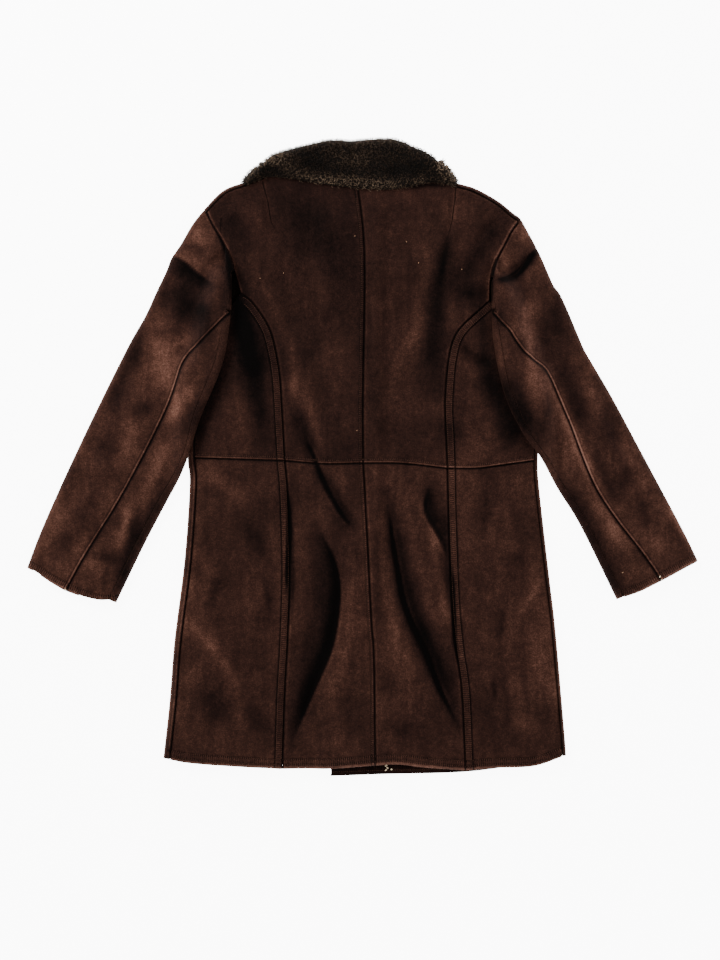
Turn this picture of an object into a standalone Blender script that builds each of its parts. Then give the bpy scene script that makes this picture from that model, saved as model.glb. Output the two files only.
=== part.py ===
"""Shearling coat, laid flat on a surface with its back up.

The coat lies face down: +Y is the collar, -Y the hem, +X the wearer's right, +Z up.
Each piece is a wall of shearling: an outer grid of points, and the inner point under each.
The layers rest on each other, so every height is worked out from the wall and the gaps.
"""

import math

import bmesh
import bpy
import numpy as np

# Driving dimensions, in metres
WALL = 0.007
SEAM_GAP = 0.0003
LAYER_GAP = 0.0008
SHOULDER_FOLD = 0.006
SIDE_FOLD = {"left": 0.010, "right": 0.0055}
SLEEVE_FOLD = 0.011
BACK_PUFF = 0.0035
SLEEVE_PUFF = 0.0035
COLLAR_FUR = 0.012
FRONT_FUR = 0.006
COLLAR_EDGE = 0.006
COLLAR_ROLL = 0.009
COLLAR_SQUASH = 0.85
COLLAR_SAG = 0.008
NECK_CLEAR = 0.0022
PRINCESS_BAND = 0.011
CENTRE_BAND = 0.0055
WAIST_BAND = 0.005
HEM_BAND = 0.0125
BAND_HEIGHT = 0.0014
SEAM_DIP = 0.0012
SEAM_ROUND = 0.003
EDGE_DIP = 0.0018
LAP_LEFT, LAP_RIGHT = -0.0455, 0.014
LAP_SLOPE = 0.026
LAP_TOP, LAP_FADE = 0.378, 0.040
SLACK = 0.0020
NECK_Y = 0.397
PUFF_FADE = 0.050
SLEEVE_CLIMB = 0.034
SLEEVE_TENT = 0.003
TENT_RISE = 0.007
SLEEVE_SEAM_GAP = 0.0012
CAP_RISE = 0.060
UNDERARM_REACH = 0.010
SIDE_SEAM_GAP = 0.0006
FRONT_ARMHOLE_INSET = 0.0036

# Where the flattened neck lies, and how its lift and its hollow fade away from it
NECK_MIDDLE, NECK_REACH, NECK_FADE = (-0.018, 0.365), (0.160, 0.092), 0.9
SAG_X, SAG_REACH, SAG_Y, SAG_FADE = -0.008, 0.070, 0.385, 0.055
FOLD_END_FADE = 0.18
FOLD_NECK_FADE = 0.020
NECK_FLAT = 0.005
LAP_START, LAP_END = 0.005, 0.001
LAP_CLEAR = 1.2 * LAYER_GAP
LAP_BED_CLEAR = 1.5 * LAYER_GAP
FALL_EDGE_Y, FALL_EDGE_FADE = 0.384, 0.012

# Slopes of the raised bands, and of the turned hem's edge
BAND_RISE, BAND_FALL, BAND_EDGE = 0.0015, 0.002, 0.001
BAND_START = 0.12
HEM_HEIGHT, HEM_FADE = 0.0008, 0.017
STITCH_GROOVE = 0.0015
EDGE_ROUND = 0.005

# Narrower places of the folds: at the underarm, where a sleeve leaves the body, and at its top
UNDERARM_NARROW, UNDERARM_END = 0.75, 0.1
CROTCH_SHARE, CROTCH_REACH, CROTCH_NARROW = 0.52, 0.10, 0.35
SLEEVE_NARROW, SLEEVE_NARROW_END = 0.45, 0.15
FOLD_BLEND = 0.10
CREASE_RADIUS = 0.0004

# Levels of the collar's two walls, measured from the mid plane of the flattened neck
STAND_IN = LAYER_GAP / 2
STAND_OUT = STAND_IN + WALL
FALL_IN = STAND_OUT + 0.0009
FRONT_OUT = FALL_IN + FRONT_FUR
NECK_LIFT = FRONT_OUT - WALL - LAYER_GAP / 2
DOUBLE = 2 * WALL + LAYER_GAP
SLEEVE_BED = DOUBLE + BACK_PUFF + 1.6 * LAYER_GAP

SUEDE_COLOUR = (0.030, 0.013, 0.009, 1.0)
FUR_COLOUR = (0.020, 0.013, 0.009, 1.0)

# Seams seen from above, each a smooth line through these (x, y) points
CENTRE_UPPER = ((-0.008, 0.397), (0.000, 0.337), (0.003, 0.276), (0.002, 0.1715), (0.0005, 0.0845),
                (0.001, -0.0065))
CENTRE_LOWER = ((0.001, -0.0065), (0.006, -0.0995), (0.0125, -0.2315), (0.0165, -0.2895),
                (0.018, -0.4405))
LEFT_SEAMS = {
    "neck": ((-0.1465, 0.401), (-0.130, 0.4095), (-0.103, 0.409), (-0.040, 0.400), (-0.008, 0.397)),
    "outline": ((-0.1485, 0.4065), (-0.160, 0.402), (-0.172, 0.3975), (-0.201, 0.386),
                (-0.2285, 0.3585), (-0.246, 0.337), (-0.2615, 0.3105), (-0.276, 0.290),
                (-0.284, 0.270), (-0.298, 0.241), (-0.3145, 0.205), (-0.343, 0.154),
                (-0.411, 0.015), (-0.462, -0.098), (-0.485, -0.1575)),
    "armhole": ((-0.2240, 0.3540), (-0.2155, 0.3355), (-0.201, 0.3115), (-0.1905, 0.289),
                (-0.185, 0.270), (-0.176, 0.2375)),
    "armhole_low": ((-0.176, 0.2375), (-0.190, 0.218), (-0.207, 0.190), (-0.219, 0.158),
                    (-0.2345, 0.125)),
    "armhole_front": ((-0.2240, 0.3540), (-0.206, 0.318), (-0.197, 0.280), (-0.199, 0.235),
                      (-0.222, 0.170), (-0.2345, 0.125)),
    "princess_upper": ((-0.176, 0.2375), (-0.1575, 0.2225), (-0.1355, 0.189), (-0.1255, 0.1555),
                       (-0.1195, 0.1195), (-0.1165, 0.0775), (-0.112, -0.003)),
    "princess_lower": ((-0.112, -0.003), (-0.108, -0.053), (-0.105, -0.162), (-0.108, -0.2605),
                       (-0.1125, -0.346), (-0.1155, -0.447)),
    "side": ((-0.2445, 0.125), (-0.250, 0.070), (-0.253, 0.0265), (-0.2525, -0.007),
             (-0.250, -0.0385), (-0.2575, -0.1475), (-0.272, -0.2635), (-0.279, -0.3505),
             (-0.288, -0.433)),
    "waist_inner": ((-0.112, -0.003), (-0.0545, -0.0075), (0.001, -0.0065)),
    "waist_outer": ((-0.2425, 0.001), (-0.176, -0.001), (-0.112, -0.003)),
    "hem_inner": ((-0.1155, -0.447), (-0.0485, -0.4455), (0.018, -0.4405)),
    "hem_outer": ((-0.278, -0.4345), (-0.250, -0.439), (-0.182, -0.444), (-0.1155, -0.447)),
    "sleeve_inner": ((-0.188, 0.254), (-0.188, 0.2295), (-0.1895, 0.202), (-0.201, 0.1355),
                     (-0.2325, 0.0585), (-0.2545, -0.0085), (-0.282, -0.0605), (-0.314, -0.1215),
                     (-0.356, -0.2085)),
    "elbow": ((-0.1985, 0.2560), (-0.2045, 0.222), (-0.2165, 0.1895), (-0.237, 0.163),
              (-0.2575, 0.1395), (-0.279, 0.0815), (-0.314, 0.009), (-0.3545, -0.065),
              (-0.3995, -0.1375), (-0.4285, -0.190)),
    "sleeve_front": ((-0.2345, 0.125), (-0.262, 0.100), (-0.287, 0.055), (-0.320, 0.000),
                     (-0.365, -0.090), (-0.418, -0.194)),
    "sleeve_low": ((-0.197, 0.2525), (-0.2165, 0.190), (-0.2345, 0.125)),
    "cuff": ((-0.485, -0.1575), (-0.4285, -0.190), (-0.3835, -0.207), (-0.356, -0.2085)),
    "front_neck": ((-0.1465, 0.401), (-0.120, 0.365), (-0.060, 0.340), (0.014, 0.333)),
    "front_edge": ((0.014, 0.333), (0.014, -0.050), (0.014, -0.436)),
    "front_hem": ((-0.278, -0.4345), (-0.150, -0.440), (0.014, -0.436)),
}
RIGHT_SEAMS = {
    "neck": ((0.1105, 0.3985), (0.098, 0.403), (0.069, 0.4005), (0.030, 0.397), (-0.008, 0.397)),
    "outline": ((0.1125, 0.404), (0.127, 0.400), (0.1415, 0.3955), (0.163, 0.389),
                (0.195, 0.3715), (0.217, 0.354), (0.2285, 0.3455), (0.2385, 0.328),
                (0.2575, 0.2935), (0.2995, 0.2065), (0.333, 0.154), (0.363, 0.0845),
                (0.4095, -0.0025), (0.4605, -0.098), (0.485, -0.1475)),
    "armhole": ((0.2240, 0.3400), (0.214, 0.3255), (0.2065, 0.3105), (0.198, 0.295),
                (0.1905, 0.2795), (0.185, 0.2585), (0.1835, 0.2265)),
    "armhole_low": ((0.1835, 0.2265), (0.199, 0.205), (0.214, 0.175), (0.227, 0.145),
                    (0.2405, 0.1195)),
    "armhole_front": ((0.2240, 0.3400), (0.209, 0.308), (0.201, 0.270), (0.204, 0.225),
                      (0.226, 0.165), (0.2405, 0.1195)),
    "princess_upper": ((0.1835, 0.2265), (0.145, 0.192), (0.131, 0.170), (0.124, 0.141),
                       (0.121, 0.112), (0.119, 0.073), (0.121, 0.025), (0.1225, -0.014)),
    "princess_lower": ((0.1225, -0.014), (0.124, -0.0835), (0.1285, -0.2025), (0.135, -0.275),
                       (0.1435, -0.3375), (0.1485, -0.449)),
    "side": ((0.246, 0.1195), (0.2515, 0.070), (0.2545, 0.0265), (0.2535, -0.007),
             (0.256, -0.046), (0.2705, -0.1735), (0.279, -0.246), (0.292, -0.394),
             (0.2945, -0.429)),
    "waist_inner": ((0.1225, -0.014), (0.0575, -0.007), (0.001, -0.0065)),
    "waist_outer": ((0.248, -0.003), (0.1995, -0.0095), (0.1645, -0.014), (0.1225, -0.014)),
    "hem_inner": ((0.1485, -0.449), (0.0865, -0.4445), (0.0545, -0.4405), (0.018, -0.4405)),
    "hem_outer": ((0.289, -0.431), (0.246, -0.444), (0.192, -0.446), (0.1485, -0.449)),
    "sleeve_inner": ((0.185, 0.247), (0.1855, 0.2135), (0.188, 0.167), (0.2025, 0.096),
                     (0.2285, 0.039), (0.2575, -0.001), (0.2835, -0.046), (0.3155, -0.098),
                     (0.3675, -0.204)),
    "elbow": ((0.1960, 0.2490), (0.2010, 0.217), (0.2125, 0.188), (0.2310, 0.1575),
              (0.2675, 0.121), (0.298, 0.054), (0.340, -0.048), (0.408, -0.1415),
              (0.4315, -0.1755)),
    "sleeve_front": ((0.2405, 0.1195), (0.266, 0.090), (0.292, 0.045), (0.325, -0.010),
                     (0.372, -0.095), (0.4225, -0.181)),
    "sleeve_low": ((0.194, 0.2455), (0.216, 0.185), (0.2405, 0.1195)),
    "cuff": ((0.485, -0.1475), (0.4315, -0.1755), (0.3995, -0.1925), (0.3675, -0.204)),
    "front_neck": ((0.1105, 0.3985), (0.085, 0.365), (0.030, 0.341), (-0.0455, 0.333)),
    "front_edge": ((-0.0455, 0.333), (-0.0455, -0.060), (-0.0455, -0.459)),
    "front_hem": ((0.289, -0.431), (0.246, -0.4405), (0.150, -0.4535), (0.027, -0.4565),
                  (-0.0455, -0.459)),
}
SHOULDER_POINT = {"left": (-0.2285, 0.3585), "right": (0.2285, 0.3455)}

# Folds of the laid cloth: name, height (a trough is below nought), half width, line
FOLDS = (
    ("left_hollow", -0.0030, 0.009, ((-0.068, -0.0965), (-0.0385, -0.1575), (-0.034, -0.181),
                                     (-0.0455, -0.255), (-0.0725, -0.3315), (-0.102, -0.413))),
    ("left_swell", 0.0030, 0.016, ((-0.048, -0.105), (-0.014, -0.170), (-0.018, -0.250),
                                   (-0.048, -0.350))),
    ("right_hollow", -0.0030, 0.009, ((0.0325, -0.049), (0.047, -0.1315), (0.066, -0.217),
                                      (0.095, -0.284), (0.1355, -0.384))),
    ("right_swell", 0.0030, 0.016, ((0.0835, -0.065), (0.101, -0.117), (0.112, -0.2025),
                                    (0.122, -0.262))),
    ("short_crease", -0.0025, 0.006, ((-0.065, -0.011), (-0.0485, -0.040), (-0.011, -0.0995))),
    ("upper_hollow", -0.0020, 0.010, ((-0.0965, 0.0555), (-0.069, 0.005))),
    ("left_princess_hollow", -0.0025, 0.007, ((-0.103, -0.046), (-0.0985, -0.140),
                                              (-0.100, -0.2345))),
    ("right_princess_hollow", -0.0025, 0.007, ((0.1035, -0.046), (0.118, -0.117))),
    ("left_dart", -0.0020, 0.005, ((-0.1455, 0.4095), (-0.1385, 0.3775), (-0.130, 0.3355),
                                   (-0.124, 0.3095))),
    ("right_dart", -0.0020, 0.005, ((0.135, 0.3965), (0.131, 0.363), (0.121, 0.3105),
                                    (0.111, 0.2685))),
    ("yoke_crease", -0.0020, 0.008, ((0.1965, 0.3425), (0.176, 0.3265), (0.1645, 0.305))),
    ("side_back_crease", -0.0025, 0.007, ((0.1435, 0.1645), (0.1515, 0.1525), (0.166, 0.141),
                                          (0.185, 0.136))),
)
SLEEVE_FOLDS = {
    "left": (
        ("cap_crease", -0.0040, 0.009, ((-0.2855, 0.292), (-0.247, 0.273), (-0.217, 0.2515))),
        ("cap_swell", 0.0040, 0.018, ((-0.262, 0.312), (-0.232, 0.300), (-0.210, 0.285))),
        ("elbow_swell", 0.0030, 0.020, ((-0.300, 0.120), (-0.330, 0.050), (-0.380, -0.040))),
        ("fore_crease", -0.0020, 0.008, ((-0.400, -0.060), (-0.370, -0.080), (-0.350, -0.105))),
    ),
    "right": (
        ("cap_crease", -0.0045, 0.009, ((0.260, 0.303), (0.2285, 0.2745), (0.1995, 0.2555))),
        ("cap_swell", 0.0040, 0.018, ((0.247, 0.322), (0.226, 0.302), (0.208, 0.288))),
        ("under_crease", -0.0035, 0.006, ((0.206, 0.120), (0.224, 0.078), (0.240, 0.045),
                                          (0.256, 0.006))),
        ("elbow_swell", 0.0030, 0.020, ((0.310, 0.110), (0.345, 0.040), (0.390, -0.040))),
        ("fore_crease", -0.0020, 0.008, ((0.410, -0.050), (0.385, -0.075), (0.365, -0.105))),
    ),
}

# Collar sections seen from above: fold, free edge and neck seam, from the centre back
# round the end of the flattened neck, and on to the front
COLLAR_COLUMNS = ("fold_x", "fold_y", "edge_x", "edge_y", "neck_x", "neck_y")
COLLAR_BACK = {
    "left": (
        (-0.0165, 0.4480, -0.0110, 0.3890, -0.0080, 0.3970),
        (-0.0440, 0.4490, -0.0430, 0.3925, -0.0400, 0.4000),
        (-0.0790, 0.4415, -0.0780, 0.3980, -0.0720, 0.4050),
        (-0.1080, 0.4335, -0.1080, 0.4030, -0.1030, 0.4090),
        (-0.1260, 0.4275, -0.1380, 0.4040, -0.1300, 0.4095),
        (-0.1375, 0.4165, -0.1700, 0.3920, -0.1465, 0.4010),
    ),
    "right": (
        (-0.0165, 0.4480, -0.0110, 0.3890, -0.0080, 0.3970),
        (0.0140, 0.4505, 0.0150, 0.3870, 0.0120, 0.3965),
        (0.0440, 0.4500, 0.0400, 0.3870, 0.0400, 0.3975),
        (0.0700, 0.4395, 0.0720, 0.3915, 0.0690, 0.4005),
        (0.0920, 0.4290, 0.1020, 0.3970, 0.0980, 0.4030),
        (0.1060, 0.4180, 0.1345, 0.3915, 0.1105, 0.3985),
    ),
}
COLLAR_FRONT = {
    "left": (
        (-0.1300, 0.4100, -0.1580, 0.3560, -0.1380, 0.3910),
        (-0.1000, 0.3970, -0.1150, 0.3180, -0.1200, 0.3650),
        (-0.0600, 0.3830, -0.0700, 0.2990, -0.0600, 0.3400),
        (-0.0250, 0.3780, -0.0300, 0.2920, -0.0250, 0.3355),
    ),
    "right": (
        (0.0980, 0.4080, 0.1240, 0.3560, 0.1020, 0.3895),
        (0.0750, 0.3970, 0.0860, 0.3180, 0.0850, 0.3650),
        (0.0400, 0.3830, 0.0450, 0.2990, 0.0300, 0.3410),
        (0.0000, 0.3780, 0.0000, 0.2920, 0.0000, 0.3365),
    ),
}
COLLAR_TURN = {
    "left": {"fold": (-0.95, 0.30), "edge": (-0.35, 0.94)},
    "right": {"fold": (0.90, 0.43), "edge": (0.30, 0.95)},
}
END_TURNS = 6

# Steps of each smooth line between two of its points
LINE_STEPS = 16

# Rows and columns that neighbouring pieces share along a seam
SHOULDER_COLUMNS = {"left": 3, "right": 4}
NECK_COLUMNS = {"left": 6, "right": 5}
FRONT_COLUMNS = {"left": 3, "right": 4}
ARMHOLE_ROWS = 4
LOW_ROWS = 2
ELBOW_ROWS = 12
SLEEVE_COLUMNS = 6
FRONT_ARMHOLE_ROWS = 6
CAP_TIP = 0.003
CAP_STEP = 0.013

# Distances in from a seam or edge at which a wall has columns or rows, and the steps between
NEAR_SEAM = (SEAM_GAP / 2, SEAM_ROUND)
NEAR_BAND = (SEAM_GAP / 2, 0.002, CENTRE_BAND, 0.008)
NEAR_PRINCESS = (SEAM_GAP / 2, 0.002, PRINCESS_BAND - 0.001, PRINCESS_BAND + 0.001)
NEAR_HEM = (SEAM_GAP / 2, 0.004, HEM_BAND, 0.018)
NEAR_CUFF = (0.011, 0.003, 0.0)
NEAR_LAP = {"left": (0.0, 0.032, 0.0645, 0.073, 0.082, 0.091), "right": (0.0, 0.030)}
PAST_WAIST_BAND = WAIST_BAND + 0.002
HEM_CLEAR = 0.012
PANEL_STEP, SIDE_STEP, SLEEVE_STEP = 0.024, 0.026, 0.022
NEAR_EDGES_SHARE = 0.6
CLEAR_OF_ENDS = 1.4
END_EDGE_FUR = 0.004
END_REACH = 1.5
STAND_STEPS, FOLD_TURNS, FALL_STEPS = 4, 7, 7


def ease(share):
    """A smooth step from nought to one."""
    share = np.clip(share, 0.0, 1.0)
    return share * share * (3 - 2 * share)


class Line:
    """A smooth line through a few points, read by its share of length."""

    def __init__(self, points):
        corners = np.array(points, float)
        before = 2 * corners[0] - corners[1]
        after = 2 * corners[-1] - corners[-2]
        padded = np.vstack((before, corners, after))
        steps = np.linspace(0, 1, LINE_STEPS, endpoint=False)[:, None]
        pieces = []
        for a, b, c, d in zip(padded, padded[1:], padded[2:], padded[3:]):
            bend = 2 * a - 5 * b + 4 * c - d
            twist = -a + 3 * b - 3 * c + d
            pieces.append(b + 0.5 * ((c - a) * steps + bend * steps**2 + twist * steps**3))
        self.points = np.vstack(pieces + [corners[-1:]])
        steps = np.linalg.norm(np.diff(self.points, axis=0), axis=1)
        self.along = np.concatenate(([0], np.cumsum(steps)))
        self.length = self.along[-1]

    def at(self, share):
        place = np.asarray(share, float) * self.length
        return np.stack([np.interp(place, self.along, axis) for axis in self.points.T], axis=-1)

    def evenly_across(self, share):
        """Like at, but with the shares even in x, for a line that runs one way across."""
        x = self.points[0, 0] + (self.points[-1, 0] - self.points[0, 0]) * np.asarray(share, float)
        turn = 1 if self.points[-1, 0] > self.points[0, 0] else -1
        y = np.interp(turn * x, turn * self.points[:, 0], self.points[:, 1])
        return np.stack((x, y), axis=-1)

    def direction(self, share):
        step = 0.004 / self.length
        share = np.asarray(share, float)
        run = self.at(np.minimum(share + step, 1)) - self.at(np.maximum(share - step, 0))
        return run / np.linalg.norm(run, axis=-1, keepdims=True)

    def share_of(self, point):
        gaps = np.linalg.norm(self.points - np.array(point), axis=1)
        return self.along[gaps.argmin()] / self.length

    def share_at_y(self, y):
        return self.along[np.abs(self.points[:, 1] - y).argmin()] / self.length

    def nearest(self, x, y):
        """Distance from each point to the line, and the share of length where it is nearest."""
        flat = np.stack((np.ravel(x), np.ravel(y)), axis=1)
        starts = self.points[:-1]
        runs = np.diff(self.points, axis=0)
        sizes = (runs**2).sum(axis=1)
        offsets = flat[:, None] - starts
        shares = np.clip((offsets * runs).sum(axis=2) / sizes, 0, 1)
        gaps = np.linalg.norm(offsets - shares[..., None] * runs, axis=2)
        best = gaps.argmin(axis=1)
        rows = np.arange(len(flat))
        place = self.along[best] + shares[rows, best] * np.sqrt(sizes[best])
        return gaps[rows, best].reshape(np.shape(x)), (place / self.length).reshape(np.shape(x))


def outward(line, share, side):
    """The unit direction away from the coat, square to its outline."""
    run = line.direction(share)
    turn = -1 if side == "left" else 1
    normal = np.stack((run[..., 1], -run[..., 0]), axis=-1) * -turn
    return normal


def inset(line, share, side, width):
    """Points of the line moved in from the outline by the fold's width."""
    return line.at(share) - outward(line, share, side) * np.asarray(width)[..., None]


SEAMS = {
    "left": {name: Line(points) for name, points in LEFT_SEAMS.items()},
    "right": {name: Line(points) for name, points in RIGHT_SEAMS.items()},
}
CENTRES = {"upper": Line(CENTRE_UPPER), "lower": Line(CENTRE_LOWER)}
FOLD_LINES = [(height, width, Line(points)) for _, height, width, points in FOLDS]
SLEEVE_FOLD_LINES = {
    side: [(height, width, Line(points)) for _, height, width, points in rows]
    for side, rows in SLEEVE_FOLDS.items()
}
SHOULDERS = {side: SEAMS[side]["outline"].share_of(SHOULDER_POINT[side]) for side in SEAMS}


def folds_at(x, y, lines):
    """The sum of the soft ridges and troughs, each fading at its ends."""
    total = np.zeros(np.shape(x))
    for height, width, line in lines:
        gap, share = line.nearest(x, y)
        fade = ease(share / FOLD_END_FADE) * ease((1 - share) / FOLD_END_FADE)
        total += height * fade * np.exp(-((gap / width) ** 2))
    return total


def neck_lift(x, y):
    """How far the collar's front fall lifts the fronts that lie on it."""
    offsets = (x - NECK_MIDDLE[0]) / NECK_REACH[0], (y - NECK_MIDDLE[1]) / NECK_REACH[1]
    return NECK_LIFT * (1 - ease((np.hypot(*offsets) - 1) / NECK_FADE))


def neck_sag(x, y):
    """The hollow at the centre back, where no front lies under the collar."""
    return COLLAR_SAG * np.exp(-(((x - SAG_X) / SAG_REACH) ** 2)) * ease((y - SAG_Y) / SAG_FADE)


def lap_rise(x):
    """The share by which the left front climbs on to the right front."""
    return ease((x - LAP_LEFT + LAP_SLOPE + LAP_START) / LAP_SLOPE)


def under_back(x, y):
    """The level that the back rests on."""
    lap = lap_rise(x) * (1 - ease((x - LAP_RIGHT - LAP_END) / LAP_SLOPE))
    lap = lap * ease((LAP_TOP - y) / LAP_FADE)
    lift = neck_lift(x, y)
    slope_slack = SLACK * (lap * (1 - lap) + (lift / NECK_LIFT) * (1 - lift / NECK_LIFT))
    return lift + WALL + (WALL + LAP_BED_CLEAR) * lap + slope_slack - neck_sag(x, y)


def back_top(x, y):
    """The outer level of the back, with its puff and folds."""
    gap = np.minimum(SEAMS["left"]["side"].nearest(x, y)[0], SEAMS["right"]["side"].nearest(x, y)[0])
    puff = BACK_PUFF * ease(gap / PUFF_FADE) * ease((NECK_Y - NECK_FLAT - y) / PUFF_FADE)
    fold = folds_at(x, y, FOLD_LINES) * ease((NECK_Y - y) / FOLD_NECK_FADE)
    return under_back(x, y) + LAYER_GAP + WALL + np.maximum(puff + fold, 0.0)


def body_cover(x, y, side, upper):
    """The share by which a sleeve wall has climbed on to the body's side."""
    seams = SEAMS[side]
    turn = -1 if side == "left" else 1
    edge = seams["side"]
    gap, share = edge.nearest(x, y)
    underarm = edge.points[0, 1]
    inside = ((x - edge.at(share)[..., 0]) * turn < 0) & (y <= underarm + UNDERARM_REACH)
    if upper:
        low = seams["sleeve_low"]
        low_gap, low_share = low.nearest(x, y)
        past = (x - low.at(low_share)[..., 0]) * turn < 0
        inside = np.where(y > underarm, past, inside)
        gap = np.minimum(gap, low_gap)
    reach = SLEEVE_CLIMB + (SLEEVE_TENT if upper else 0.0)
    return np.where(inside, 1.0, 1 - ease(gap / reach))


def sleeve_bottom(x, y, side):
    """The level under a sleeve: the floor, or the back where the sleeve lies on it."""
    cover = body_cover(x, y, side, False)
    return cover * SLEEVE_BED + (1 - cover) * neck_lift(x, y)


def sleeve_bottom_on_body(x, y, side):
    """The same for the under sleeve, whose top end is wholly on the body."""
    underarm = SEAMS[side]["side"].points[0, 1]
    cover = np.where(y > underarm, 1.0, body_cover(x, y, side, False))
    return cover * SLEEVE_BED


def sleeve_top(x, y, side):
    """The outer level of a sleeve's upper layer."""
    seams = SEAMS[side]
    gap = np.minimum(seams["outline"].nearest(x, y)[0], seams["sleeve_inner"].nearest(x, y)[0])
    top_of_cover = seams["sleeve_inner"].points[0, 1]
    cover = body_cover(x, y, side, True) * ease((top_of_cover + CAP_RISE - y) / CAP_RISE)
    puff = SLEEVE_PUFF * ease(gap / PUFF_FADE)
    fold = folds_at(x, y, SLEEVE_FOLD_LINES[side])
    tent = TENT_RISE * cover * (1 - cover)
    level = cover * (SLEEVE_BED + LAYER_GAP) + tent + neck_lift(x, y)
    return level + DOUBLE + np.maximum(puff + fold, 0.0)


def raised_band(gap, width):
    """A folded seam allowance, held down along the seam and along its stitching."""
    return BAND_HEIGHT * (ease(gap / BAND_RISE) - ease((gap - width + BAND_EDGE) / BAND_FALL))


def below_collar(y):
    """Nought where the collar's fall lies on the back, and one below it."""
    return ease((FALL_EDGE_Y - y) / FALL_EDGE_FADE)


def seam_dip(gap):
    """The rounding of the wall into a seam."""
    return -SEAM_DIP * (1 - ease(gap / SEAM_ROUND))


def coons(sides, across, along):
    """Points between four lines: the outer and inner ones exactly, bowed as the other two are.

    across is a grid of shares from outer to inner, along a column of shares from top to bottom.
    """
    u = across[..., None]
    v = np.broadcast_to(along[:, None], across.shape)[..., None]
    outer, inner = sides["outer"](along)[:, None], sides["inner"](along)[:, None]
    grid = (1 - u) * outer + u * inner
    for name, weight in (("top", 1 - v), ("bottom", v)):
        start, end = sides[name](np.array([0.0, 1.0]))
        bow = sides[name](across) - (1 - u) * start - u * end
        grid = grid + weight * bow
    return grid


def part_of(line, start, end):
    """The stretch of a line between two shares, as a function of a share of its own."""
    return lambda share: line.at(start + (end - start) * np.asarray(share, float))


def chain(*stretches):
    """Lines joined end to end, each given with the share at which it ends."""

    def read(share):
        share = np.asarray(share, float)
        found = np.zeros(share.shape + (2,))
        start = 0.0
        for stretch, end in stretches:
            inside = (share >= start) & (share <= end)
            found[inside] = stretch((share[inside] - start) / (end - start))
            start = end
        return found

    return read


def stops(widths, near_outer, near_inner, step=0.0, count=0):
    """Shares across each row: fixed distances by both edges, and even steps between them."""
    widths = np.asarray(widths, float)
    count = count or max(2, round((widths.mean() - near_outer[-1] - near_inner[-1]) / step))
    fixed = max(near_outer[-1] + near_inner[-1], 1e-9)
    scale = np.minimum(1.0, NEAR_EDGES_SHARE * widths / fixed)
    first = np.array(near_outer)[None] * (scale / widths)[:, None]
    last = 1 - np.array(near_inner)[None, ::-1] * (scale / widths)[:, None]
    even = np.linspace(0, 1, count + 1)[None, 1:-1]
    middle = first[:, -1:] + (last[:, :1] - first[:, -1:]) * even
    return np.concatenate((first, middle, last), axis=1)


def row_shares(length, marks, first, last):
    """Shares down a panel: its marks, less the seam gap at both ends, with rounding rows."""
    gap = SEAM_GAP / 2 / length
    low, high = CLEAR_OF_ENDS * first / length, 1 - CLEAR_OF_ENDS * last / length
    start = [gap, first / length] if first else [gap]
    end = [1 - last / length, 1 - gap] if last else [1 - gap]
    return np.array(start + [mark for mark in marks if low < mark < high] + end)


def with_levels(grid, top, relief):
    """Outer and inner grids of an upper layer: the relief is in the outer points only."""
    outer = np.concatenate((grid, (top + relief)[..., None]), axis=-1)
    inner = np.concatenate((grid, (top - WALL)[..., None]), axis=-1)
    return outer, inner


def lower_levels(grid, bottom):
    """Outer and inner grids of a lower layer, whose outer side faces down."""
    outer = np.concatenate((grid, bottom[..., None]), axis=-1)
    inner = outer + np.array((0, 0, WALL))
    return outer, inner


def rolled(line_points, normals, bottom, top, width, relief=0.0, turns=6):
    """The fold between a lower and an upper layer, as a half ellipse at each row."""
    width = np.broadcast_to(width, bottom.shape)
    angles = np.linspace(-math.pi / 2, math.pi / 2, turns + 1)
    walls = (
        (width, bottom, top + relief),
        (np.maximum(width - WALL, CREASE_RADIUS), bottom + WALL, top - WALL),
    )
    grids = []
    for reach, low, high in walls:
        flat = line_points[:, None] + normals[:, None] * (reach[:, None] * np.cos(angles))[..., None]
        level = (low + high)[:, None] / 2 + (high - low)[:, None] / 2 * np.sin(angles)
        grids.append(np.concatenate((flat, level[..., None]), axis=-1))
    return grids[0], grids[1]


def make_material(name, colour, roughness, sheen):
    material = bpy.data.materials.new(name)
    material.use_nodes = True
    shader = material.node_tree.nodes["Principled BSDF"]
    shader.inputs["Base Color"].default_value = colour
    shader.inputs["Roughness"].default_value = roughness
    shader.inputs["Sheen Weight"].default_value = sheen
    material.diffuse_color = colour
    return material


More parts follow.
